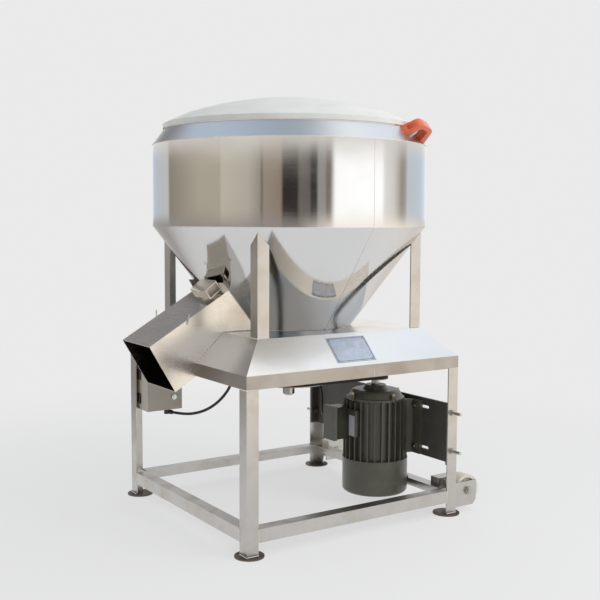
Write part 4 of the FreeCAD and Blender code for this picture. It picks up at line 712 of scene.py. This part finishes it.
def give_wall(sheet, wall):
    """Thicken a sheet by half of its wall on each side."""
    take(sheet)
    thicken = sheet.modifiers.new("thicken", "SOLIDIFY")
    thicken.thickness = wall
    thicken.offset = 0
    bpy.ops.object.modifier_apply(modifier=thicken.name)


def finish_piece(piece, name, finish, body):
    """Name a piece, settle its place into its mesh, shade and dress it, and let it ride."""
    take(piece)
    bpy.ops.object.transform_apply(location=True, rotation=True, scale=True)
    bpy.ops.object.shade_smooth_by_angle(angle=SMOOTH_BELOW)
    piece.name = name
    piece.data.name = name
    piece.data.materials.clear()
    piece.data.materials.append(finish)
    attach(piece, body)
    print(name, len(piece.data.polygons), "faces")


print("faces meet smoothly below", round(math.degrees(SMOOTH_BELOW)), "degrees")

# %% [markdown]
# ## Weld beads
#
# Where two sheets or bars meet, a welder leaves a bead: a small half-round ridge with
# ripples, one for each time the torch moved on. A thin round rod laid along the joint
# is enough, because half of it is inside the steel. A curve with a round bevel gives the
# rod, and a radius that swells and shrinks from point to point gives the ripples.

# %% Rods and beads
RIPPLE = 2.5 * MM


def round_rods(lines, radius, smoothness, closed=False, swell=lambda index: 1):
    """Round rods along lines of points, as one mesh."""
    curve = bpy.data.curves.new("rods", "CURVE")
    curve.dimensions = "3D"
    curve.bevel_depth = radius
    curve.bevel_resolution = smoothness
    curve.use_fill_caps = True
    for line in lines:
        spline = curve.splines.new("POLY")
        spline.points.add(len(line) - 1)
        spline.use_cyclic_u = closed
        for index, spot in enumerate(line):
            spline.points[index].co = (*spot, 1)
            spline.points[index].radius = swell(index)
    take(mesh_object("rods", curve))
    bpy.ops.object.convert(target="MESH")
    return bpy.context.object


def along(points, closed):
    """Points a ripple apart along straight runs."""
    spots = []
    ends = points[1:] + points[:1] if closed else points[1:]
    for start, end in zip(points, ends):
        count = max(1, round((end - start).length / RIPPLE))
        spots += [start.lerp(end, share / count) for share in range(count)]
    return spots if closed else spots + [points[-1]]


def weld_bead(lines, radius, ripple=0.2, closed=False):
    """A rippled bead along each line of corners, as one mesh."""
    def swell(index):
        return 1 + ripple * math.cos(index * math.pi) + ripple * math.sin(index * 1.7) / 2

    return round_rods([along(line, closed) for line in lines], radius, 1, closed, swell)


print("ripples:", round(RIPPLE / MM, 1), "mm apart")

# %% [markdown]
# The tank has three seams round it: where the cone, the shoulder and the rim of the
# filling mouth meet the drum or each other. Each is a closed ring of short straight runs.

# %% Seams round the tank
RING_RUNS = 180
SEAM_SINK = 0.4 * MM


def off_axis(radius, angle, z):
    """A point at a distance and compass angle from the tank's axis."""
    return AXIS + Vector((radius * math.cos(angle), radius * math.sin(angle), z))


def ring_line(radius, z):
    """Points round the tank's axis."""
    return [off_axis(radius, 2 * math.pi * share / RING_RUNS, z) for share in range(RING_RUNS)]


shoulder_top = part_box("tank_shoulder")[1].z
rim_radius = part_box("mouth_rim")[1].x - AXIS.x
seam_lines = [
    ring_line(DRUM_RADIUS - SEAM_SINK, drum_low.z),
    ring_line(DRUM_RADIUS - SEAM_SINK, drum_high.z),
    ring_line(rim_radius, shoulder_top)]
seams = weld_bead(seam_lines, 1.3 * MM, closed=True)
finish_piece(seams, "tank_seam_welds", weld_metal, "root")

# %% [markdown]
# The drum and the cone were each rolled from one sheet, so each has an upright seam
# where its ends meet, and the ring angle below was joined from two lengths. These seams
# were ground nearly flush, so their beads are thin and their ripples faint.

# %% Upright seams
SEAM_TURN = math.radians(-89)
CONE_FOOT = 208 * MM
RING_WELD_X = 79.75 * MM
hood_low, hood_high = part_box("base_hood")
ring_low, ring_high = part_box("ring_front")


def cone_radius(z):
    """The cone's outer radius at a height."""
    share = (z - hood_high.z) / (drum_low.z - hood_high.z)
    return CONE_FOOT + (DRUM_RADIUS - CONE_FOOT) * share


upright_lines = [
    [off_axis(DRUM_RADIUS, SEAM_TURN, z) for z in (drum_low.z, drum_high.z)],
    [off_axis(cone_radius(z), SEAM_TURN, z) for z in (hood_high.z + MM, drum_low.z)],
    [Vector((RING_WELD_X, ring_low.y, z)) for z in (ring_low.z, ring_high.z)]]
upright_seams = weld_bead(upright_lines, 0.7 * MM, 0.1)
finish_piece(upright_seams, "tank_upright_weld", weld_metal, "root")

# %% [markdown]
# ## Beads where the bars and sheets meet
#
# The same rod serves wherever the machine is held together: round the feet of the four
# angle posts, where the legs meet the ring and the foot discs, and at the ends of the
# lower rails. Each line is given by its corners, worked out from the boxes of the pieces.

# %% Beads at the frame's joints
POST_LEG = 40 * MM
post_low, post_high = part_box("support_posts")
post_foot = post_low.z + MM
frame_lines = []
for x, way_x in ((post_low.x, 1), (post_high.x, -1)):
    for y, way_y in ((post_low.y, 1), (post_high.y, -1)):
        frame_lines.append([
            Vector((x + way_x * POST_LEG, y, post_foot)), Vector((x, y, post_foot)),
            Vector((x, y + way_y * POST_LEG, post_foot))])
for corner in ("front_left", "front_right", "rear_left", "rear_right"):
    leg_low, leg_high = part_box("leg_" + corner)
    out_x, in_x = (leg_low.x, leg_high.x) if "left" in corner else (leg_high.x, leg_low.x)
    out_y, in_y = (leg_low.y, leg_high.y) if "front" in corner else (leg_high.y, leg_low.y)
    for z in (leg_low.z + MM, leg_high.z):
        frame_lines.append([
            Vector((in_x, out_y, z)), Vector((out_x, out_y, z)), Vector((out_x, in_y, z))])
for side in ("front", "rear"):
    rail_low, rail_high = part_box("lower_rail_" + side)
    face = rail_low.y if side == "front" else rail_high.y
    for x in (rail_low.x, rail_high.x):
        frame_lines.append([Vector((x, face, z)) for z in (rail_low.z, rail_high.z)])
rail_low, rail_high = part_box("lower_rail_left")
for y in (rail_low.y, rail_high.y):
    frame_lines.append([Vector((rail_low.x, y, z)) for z in (rail_low.z, rail_high.z)])
frame_beads = weld_bead(frame_lines, 1.5 * MM, 0.35)
finish_piece(frame_beads, "frame_weld_beads", weld_metal, "root")

# %% [markdown]
# The chute's sides pass through the cone and the hood. Where a flat side plane cuts the
# cone the joint is a curve, so its points are found by solving for the distance out from
# the axis at each height. On the hood it is a straight slanting line and then a level one.

# %% Beads round the chute
CUT_STEP = 5 * MM
CUT_STEPS = 40
HOOD_BEAD_END = 180 * MM
chute_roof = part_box("chute")[1].z - 4 * MM


def cone_cut(y, z):
    """Where the cone's outside meets an upright plane at y, on the chute's side."""
    return Vector((AXIS.x - math.sqrt(cone_radius(z) ** 2 - y ** 2), y, z))


chute_lines = []
for y in (-CHUTE_HALF, CHUTE_HALF):
    cut = [cone_cut(y, hood_high.z + 2 * MM + step * CUT_STEP) for step in range(CUT_STEPS)]
    chute_lines.append([spot for spot in cut if spot.z < chute_roof])
    beside = y + math.copysign(MM, y)
    on_hood = hood_high.z + MM
    chute_lines.append([
        Vector((hood_low.x, beside, ring_high.z)), Vector((post_low.x, beside, on_hood)),
        Vector((AXIS.x - HOOD_BEAD_END, beside, on_hood))])
chute_beads = weld_bead(chute_lines, 1.4 * MM, 0.35)
finish_piece(chute_beads, "chute_weld_beads", weld_metal, "root")

# %% [markdown]
# ## Grab handles
#
# The two orange handles on the tank's shoulder are moulded loops with a hollow foot at
# each end, in which the screw sits deep. A block that narrows upwards is bevelled on its
# two upper ends to give the loop's shape, a smaller one cuts the hand hole, and two
# cylinders cut the screw pockets. A small bevel last softens every edge, as a mould does.
# The handle is made lying along X, with its foot at zero.

# %% One handle
HANDLE_HALF = 68 * MM
HANDLE_TOP_HALF = 37 * MM
HANDLE_WIDE = 30 * MM
HANDLE_TOP = 52 * MM
HANDLE_SINK = 5 * MM
HOLE_HALF = 38 * MM
HOLE_TOP_HALF = 22 * MM
HOLE_TOP = 38 * MM
POCKET_OUT = 54 * MM
POCKET_RADIUS = 8 * MM
POCKET_FLOOR = 10 * MM
POCKET_TALL = 60 * MM


def rounded_block(half, top_half, wide, low, high, corner, segments):
    """A block along X that narrows towards its top, with the two upper ends rounded."""
    let_go()
    bpy.ops.mesh.primitive_cube_add(size=1, location=(0, 0, (low + high) / 2))
    block = bpy.context.object
    block.scale = (2 * half, wide, high - low)
    bpy.ops.object.transform_apply(location=True, scale=True)
    bpy.ops.object.mode_set(mode="EDIT")
    pick_faces(block, lambda centre, normal: normal.z > 0.9)
    bpy.ops.transform.resize(value=(top_half / half, 1, 1), center_override=(0, 0, high))
    bpy.ops.mesh.select_mode(type="EDGE")
    bpy.ops.mesh.select_all(action="DESELECT")
    shape = bmesh.from_edit_mesh(block.data)
    for edge in shape.edges:
        first, last = (vert.co for vert in edge.verts)
        edge.select_set(abs(first.x - last.x) < MM and min(first.z, last.z) > high - MM)
    bmesh.update_edit_mesh(block.data)
    bpy.ops.mesh.bevel(offset=corner, segments=segments, affect="EDGES")
    bpy.ops.object.mode_set(mode="OBJECT")
    return block


def cut_away(piece, tool):
    """Cut one solid out of another and drop the tool."""
    take(piece)
    cut = piece.modifiers.new("cut", "BOOLEAN")
    cut.operation = "DIFFERENCE"
    cut.object = tool
    cut.solver = "EXACT"
    bpy.ops.object.modifier_apply(modifier=cut.name)
    bpy.data.objects.remove(tool)


handle = rounded_block(
    HANDLE_HALF, HANDLE_TOP_HALF, HANDLE_WIDE, -HANDLE_SINK, HANDLE_TOP, 15 * MM, 8)
hand_hole = rounded_block(
    HOLE_HALF, HOLE_TOP_HALF, 2 * HANDLE_WIDE, -2 * HANDLE_SINK, HOLE_TOP, 10 * MM, 6)
cut_away(handle, hand_hole)
for out in (-POCKET_OUT, POCKET_OUT):
    let_go()
    bpy.ops.mesh.primitive_cylinder_add(
        vertices=32, radius=POCKET_RADIUS, depth=POCKET_TALL,
        location=(out, 0, POCKET_FLOOR + POCKET_TALL / 2))
    cut_away(handle, bpy.context.object)
take(handle)
soften = handle.modifiers.new("soften", "BEVEL")
soften.width = 1.5 * MM
soften.segments = 2
soften.limit_method = "ANGLE"
soften.angle_limit = math.radians(35)
bpy.ops.object.modifier_apply(modifier=soften.name)
print("handle:", len(handle.data.polygons), "faces")

# %% [markdown]
# The shoulder is a cone, so the handle is tilted to stand on it, and its foot reaches a
# few millimetres into it, because a flat foot can't follow a round sheet. Three
# directions at right angles make the turn: the way the handle lies, the way it stands,
# and the one across both. The rear handle mirrors the front one's place and directions.

# %% Both handles on the shoulder
HANDLE_PLACE = Vector((246.05, -369.6, 1232.8)) * MM
HANDLE_LONG = Vector((0.903, 0.395, -0.168)).normalized()
HANDLE_UP = Vector((0.413, -0.692, 0.592)).normalized()


def stand(mesh, place, long, up):
    """Set a mesh modelled along X, with +Z up, at a place so that it lies long and stands up."""
    across = up.cross(long).normalized()
    turn = Matrix((long, across, long.cross(across))).transposed().to_4x4()
    mesh.transform(Matrix.Translation(place) @ turn)


for side, flip in (("front", 1), ("rear", -1)):
    mirror = Vector((1, flip, 1))
    grab = mesh_object("handle", handle.data.copy())
    stand(grab.data, HANDLE_PLACE * mirror, HANDLE_LONG * mirror, HANDLE_UP * mirror)
    finish_piece(grab, "grab_handle_" + side, orange_plastic, "root")
    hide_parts("tilt_handle_" + side)
bpy.data.objects.remove(handle)

# %% [markdown]
# ## The gate's pull
#
# The slide gate is a sheet whose upper edge is rolled into a square pull. The pull is
# only half as long as the gate is wide. The CAD piece has it right across, so a copy of
# the gate's mesh is merged and cut: bisect keeps what is below the chute's roof in one
# copy and what is above it in another, and only the upper one is cut off in the middle.

# %% Gate with a short pull
PULL_END = -7 * MM
ROOF_CLEAR = 3 * MM
SAME_POINT = 0.01 * MM


def gate_part(keep_low):
    """The gate's part below or above the chute's roof, with its cut closed."""
    made = mesh_object("gate", nodes["slide_gate"].data.copy())
    take(made)
    bpy.ops.object.mode_set(mode="EDIT")
    bpy.ops.mesh.select_all(action="SELECT")
    bpy.ops.mesh.remove_doubles(threshold=SAME_POINT)
    bpy.ops.mesh.bisect(
        plane_co=MOUTH_TOP + CHUTE_UP * ROOF_CLEAR, plane_no=CHUTE_UP, use_fill=True,
        clear_outer=keep_low, clear_inner=not keep_low)
    if not keep_low:
        bpy.ops.mesh.select_all(action="SELECT")
        bpy.ops.mesh.bisect(
            plane_co=(0, PULL_END, 0), plane_no=(0, 1, 0), use_fill=True, clear_outer=True)
    bpy.ops.object.mode_set(mode="OBJECT")
    return made


gate = join([gate_part(True), gate_part(False)])
finish_piece(gate, "gate_with_short_pull", chute_sheet, "gate")
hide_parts("slide_gate")

# %% [markdown]
# Behind the gate the chute's roof runs on for a few centimetres to the cone. A small
# upright cheek on each side closes the wedge between them. It is a plane whose four
# corners are set where the cheek meets roof, gate and cone, with a thickness added.

# %% Cheeks behind the gate
GATE_FRONT = 293 * MM
GATE_BACK = 313 * MM
CHEEK_OUT = 99.2 * MM
CHEEK_TALL = 40 * MM
CHUTE_ALONG = Vector((math.cos(CHUTE_SLOPE), 0, math.sin(CHUTE_SLOPE)))

for side, way in (("front", -1), ("rear", 1)):
    edge = MOUTH_TOP + Vector((0, way * CHEEK_OUT, 0))
    gate_foot = edge + CHUTE_ALONG * GATE_FRONT - CHUTE_UP * MM
    back_foot = edge + CHUTE_ALONG * GATE_BACK - CHUTE_UP * MM
    head = edge + CHUTE_ALONG * GATE_FRONT + CHUTE_UP * CHEEK_TALL
    on_cone = cone_cut(head.y, head.z) + Vector((3 * MM, 0, 0))
    let_go()
    bpy.ops.mesh.primitive_plane_add(size=1)
    cheek = bpy.context.object
    for vert, corner in zip(cheek.data.vertices, (gate_foot, back_foot, head, on_cone)):
        vert.co = corner
    give_wall(cheek, 1.5 * MM)
    bpy.ops.object.mode_set(mode="EDIT")
    bpy.ops.mesh.select_all(action="SELECT")
    bpy.ops.mesh.normals_make_consistent(inside=False)
    bpy.ops.object.mode_set(mode="OBJECT")
    finish_piece(cheek, "gate_cheek_" + side, ring_angle, "root")

# %% [markdown]
# ## Bag pegs
#
# Two thin rods stand on the chute's sides and keep a feed bag in place. They were bent
# by hand, so neither is straight. Each is a short round rod through a few points that
# lean more and more, and a small ring of weld holds its foot.

# %% Two bent rods
PEG_RADIUS = 2.3 * MM
PEG_LEAN = 0.12
FOOT_DROP = 14 * MM
# How far each point of a rod stands out sideways, and how high.
PEG_BENDS = [(0, 0), (0.5, 12), (3, 20), (6, 27), (8, 33)]

peg_lines = []
peg_feet = []
for run, way in ((145 * MM, -1), (135 * MM, 1)):
    sideways_off = Vector((0, way * (CHUTE_HALF + PEG_RADIUS * 0.8), 0))
    foot = MOUTH_TOP + CHUTE_ALONG * run + sideways_off - Vector((0, 0, FOOT_DROP))
    bends = [Vector((up * PEG_LEAN, way * out, up)) * MM for out, up in PEG_BENDS]
    peg_lines.append([foot + bend for bend in bends])
    peg_feet.append([foot + Vector((0, 0, up * MM)) for up in (2, 10)])
pegs = round_rods(peg_lines, PEG_RADIUS, 3)
finish_piece(pegs, "bent_bag_pegs", chute_sheet, "root")
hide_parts("bag_pegs")
peg_beads = weld_bead(peg_feet, 3.2 * MM, 0.3)
finish_piece(peg_beads, "bag_peg_welds", weld_metal, "root")

# %% [markdown]
# ## The motor's terminal box
#
# The terminal box on this motor is narrower than its pad. The box's mesh is copied and
# merged, so that its faces share their points, and the points of its near side are
# moved in.

# %% Narrow terminal box
BOX_MIDDLE = -114 * MM
BOX_SHIFT = 50 * MM
small_box = mesh_object("box", nodes["terminal_box"].data.copy())
box_shape = bmesh.new()
box_shape.from_mesh(small_box.data)
bmesh.ops.remove_doubles(box_shape, verts=box_shape.verts, dist=SAME_POINT)
near_side = [vert for vert in box_shape.verts if vert.co.y < BOX_MIDDLE]
for vert in near_side:
    vert.co.y += BOX_SHIFT
box_shape.to_mesh(small_box.data)
box_shape.free()
print("points moved:", len(near_side), "of", len(small_box.data.vertices))
finish_piece(small_box, "narrow_terminal_box", motor_enamel, "root")
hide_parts("terminal_box")

# %% [markdown]
# The rest of the pad holds a small plate, left bare here. It is a thin block whose front
# face is inset and pressed in a little, as a stamped plate with a raised edge is.

# %% Bare plate beside the box
PLATE_SIZE = Vector((1.6, 30, 70)) * MM
PLATE_EDGE = 2.2 * MM
PLATE_PRESSED = 0.4 * MM
pad_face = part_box("terminal_box")[1].x
let_go()
bpy.ops.mesh.primitive_cube_add(size=1, location=(pad_face - 0.2 * MM, -140 * MM, 275 * MM))
rating_plate = bpy.context.object
rating_plate.scale = PLATE_SIZE
bpy.ops.object.transform_apply(location=True, scale=True)
bpy.ops.object.mode_set(mode="EDIT")
pick_faces(rating_plate, lambda centre, normal: normal.x < -0.9)
bpy.ops.mesh.inset(thickness=PLATE_EDGE)
bpy.ops.transform.translate(value=(PLATE_PRESSED, 0, 0))
bpy.ops.object.mode_set(mode="OBJECT")
finish_piece(rating_plate, "motor_rating_plate_bare", lacquered_plate, "root")

# %% [markdown]
# ## Screws of the end bell
#
# The end bell is held by four hexagonal screws with a yellow coat, one in each of its
# ears. A six-sided cylinder is the head, and its top face is inset and raised, which
# chamfers the corners. One head is modelled, standing on the origin along +Z. Copies are
# set out where they belong, each with its own mesh, and then joined.


# %% End bell screws
def turned_copy(template, place, way):
    """A copy of a piece modelled along +Z, set at a place and pointing a way."""
    mesh = template.data.copy()
    turn = Vector(way).to_track_quat("Z", "Y").to_matrix().to_4x4()
    mesh.transform(Matrix.Translation(place) @ turn)
    return mesh_object(template.name, mesh)


def set_out(template, places):
    """Copy a template to (place, way) pairs, join the copies and drop the template."""
    copies = [turned_copy(template, place, way) for place, way in places]
    bpy.data.objects.remove(template)
    return join(copies)


MOTOR_AXIS = Vector((301.75, -124, 0)) * MM
EAR_TALL = 20 * MM
EAR_OUT = 97 * MM
HEAD_RADIUS = 6.5 * MM
HEAD_TALL = 5 * MM
let_go()
bpy.ops.mesh.primitive_cylinder_add(
    vertices=6, radius=HEAD_RADIUS, depth=HEAD_TALL, location=(0, 0, HEAD_TALL / 2))
screw_head = bpy.context.object
bpy.ops.object.transform_apply(location=True)
bpy.ops.object.mode_set(mode="EDIT")
pick_faces(screw_head, lambda centre, normal: normal.z > 0.9)
bpy.ops.mesh.inset(thickness=1.2 * MM)
bpy.ops.transform.translate(value=(0, 0, 0.8 * MM))
bpy.ops.object.mode_set(mode="OBJECT")
ear_top = Vector((0, 0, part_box("motor_end_bell")[0].z + EAR_TALL))
ears = []
for quarter in range(4):
    swing = math.radians(90 * quarter)
    reach = Vector((math.cos(swing), math.sin(swing), 0)) * EAR_OUT
    ears.append((MOTOR_AXIS + reach + ear_top, (0, 0, 1)))
bell_screws = set_out(screw_head, ears)
finish_piece(bell_screws, "end_bell_screws", brass_zinc, "root")

# %% [markdown]
# ## Border and rivets of the information plate
#
# The plate on the hood's front slope stays bare, but a real one has an etched border and
# is held by four rivets. Both lie on the slope, so they are modelled flat and then
# turned to it. The border is a plane that is inset, opened and given a thickness.

# %% Border
SIGN_UP = Vector((0, -1, 1)).normalized()
SIGN_LIFT = 0.9 * MM
SIGN_MARGIN_WIDE = 8 * MM
SIGN_MARGIN_TALL = 9 * MM
BORDER_LINE = 1.2 * MM
sign_low, sign_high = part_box("information_plate")
sign_middle = (sign_low + sign_high) / 2 + SIGN_UP * SIGN_LIFT
sign_wide = sign_high.x - sign_low.x - SIGN_MARGIN_WIDE
sign_tall = (sign_high.z - sign_low.z) * math.sqrt(2) - SIGN_MARGIN_TALL
let_go()
bpy.ops.mesh.primitive_plane_add(size=1)
border = bpy.context.object
border.scale = (sign_wide, sign_tall, 1)
bpy.ops.object.transform_apply(scale=True)
bpy.ops.object.mode_set(mode="EDIT")
bpy.ops.mesh.select_all(action="SELECT")
bpy.ops.mesh.inset(thickness=BORDER_LINE)
bpy.ops.mesh.delete(type="FACE")
bpy.ops.object.mode_set(mode="OBJECT")
give_wall(border, 0.5 * MM)
stand(border.data, sign_middle, Vector((1, 0, 0)), SIGN_UP)
finish_piece(border, "plate_border", etched_border, "root")

# %% [markdown]
# A rivet is a short cylinder whose top edge is bevelled round. One stands in each corner
# of the plate, a little way in from the border.

# %% Rivets
RIVET_IN = 5 * MM
let_go()
bpy.ops.mesh.primitive_cylinder_add(vertices=20, radius=3 * MM, depth=2.4 * MM)
rivet = bpy.context.object
bpy.ops.object.mode_set(mode="EDIT")
pick_faces(rivet, lambda centre, normal: normal.z > 0.9)
bpy.ops.mesh.bevel(offset=1.0 * MM, segments=3, affect="EDGES")
bpy.ops.object.mode_set(mode="OBJECT")
up_slope = Vector((0, 1, 1)).normalized()
rivet_places = []
for way_x in (-1, 1):
    for way_y in (-1, 1):
        level = Vector((way_x * (sign_wide / 2 - RIVET_IN), 0, 0))
        upward = up_slope * way_y * (sign_tall / 2 - RIVET_IN)
        rivet_places.append((sign_middle + level + upward, SIGN_UP))
rivets = set_out(rivet, rivet_places)
finish_piece(rivets, "plate_rivets", zinc, "root")

# %% [markdown]
# ## The motor's cable
#
# One rubber-sheathed cable runs from the control box over the frame and down to the
# motor. It is 10 mm thick and 990 mm long. A cable bends smoothly everywhere, so its line
# is a NURBS spline, which takes the CAD route's points as control points and passes inside
# each corner. The order and the end setting are given after the points, because a spline
# with too few points would keep a lower order.

# %% Cable along its route
CABLE_ROUTE = [
    (-275, 329, 288), (-250, 301, 284), (-219, 268, 287), (-184, 232, 305), (-152, 198, 341),
    (-128, 172, 390), (-116, 158, 446), (-118, 156, 500), (-104, 162, 541), (-58, 168, 552),
    (0, 170, 540), (58, 168, 552), (108, 160, 541), (144, 140, 496), (176, 116, 446),
    (190, 92, 396), (186, 66, 354), (168, 40, 320), (149, 14, 297), (142, -13, 290),
    (142, -38, 290)]
CABLE_THICK = 10 * MM
ROUTE_SHIFT = Vector((25.75, 0, 0)) * MM
cable_points = [Vector(spot) * MM + ROUTE_SHIFT for spot in CABLE_ROUTE]
cable_curve = bpy.data.curves.new("cable", "CURVE")
cable_curve.dimensions = "3D"
cable_curve.resolution_u = 12
cable_curve.bevel_depth = CABLE_THICK / 2
cable_curve.bevel_resolution = 4
cable_curve.use_fill_caps = True
cable_spline = cable_curve.splines.new("NURBS")
cable_spline.points.add(len(cable_points) - 1)
for point, spot in zip(cable_spline.points, cable_points):
    point.co = (*spot, 1)
cable_spline.order_u = 3
cable_spline.use_endpoint_u = True
cable = mesh_object("motor_lead", cable_curve)
cable.data.materials.append(cable_rubber)
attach(cable, "root")
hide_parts("motor_cable")

# %% [markdown]
# ## Sizes
#
# The dressed machine must be as large as the CAD model, apart from the few millimetres
# that a bead stands proud. Both boxes are printed, lowest corner first.

# %% Print the sizes
for part in (cad_box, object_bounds()):
    print([[round(value, 4) for value in corner] for corner in part])
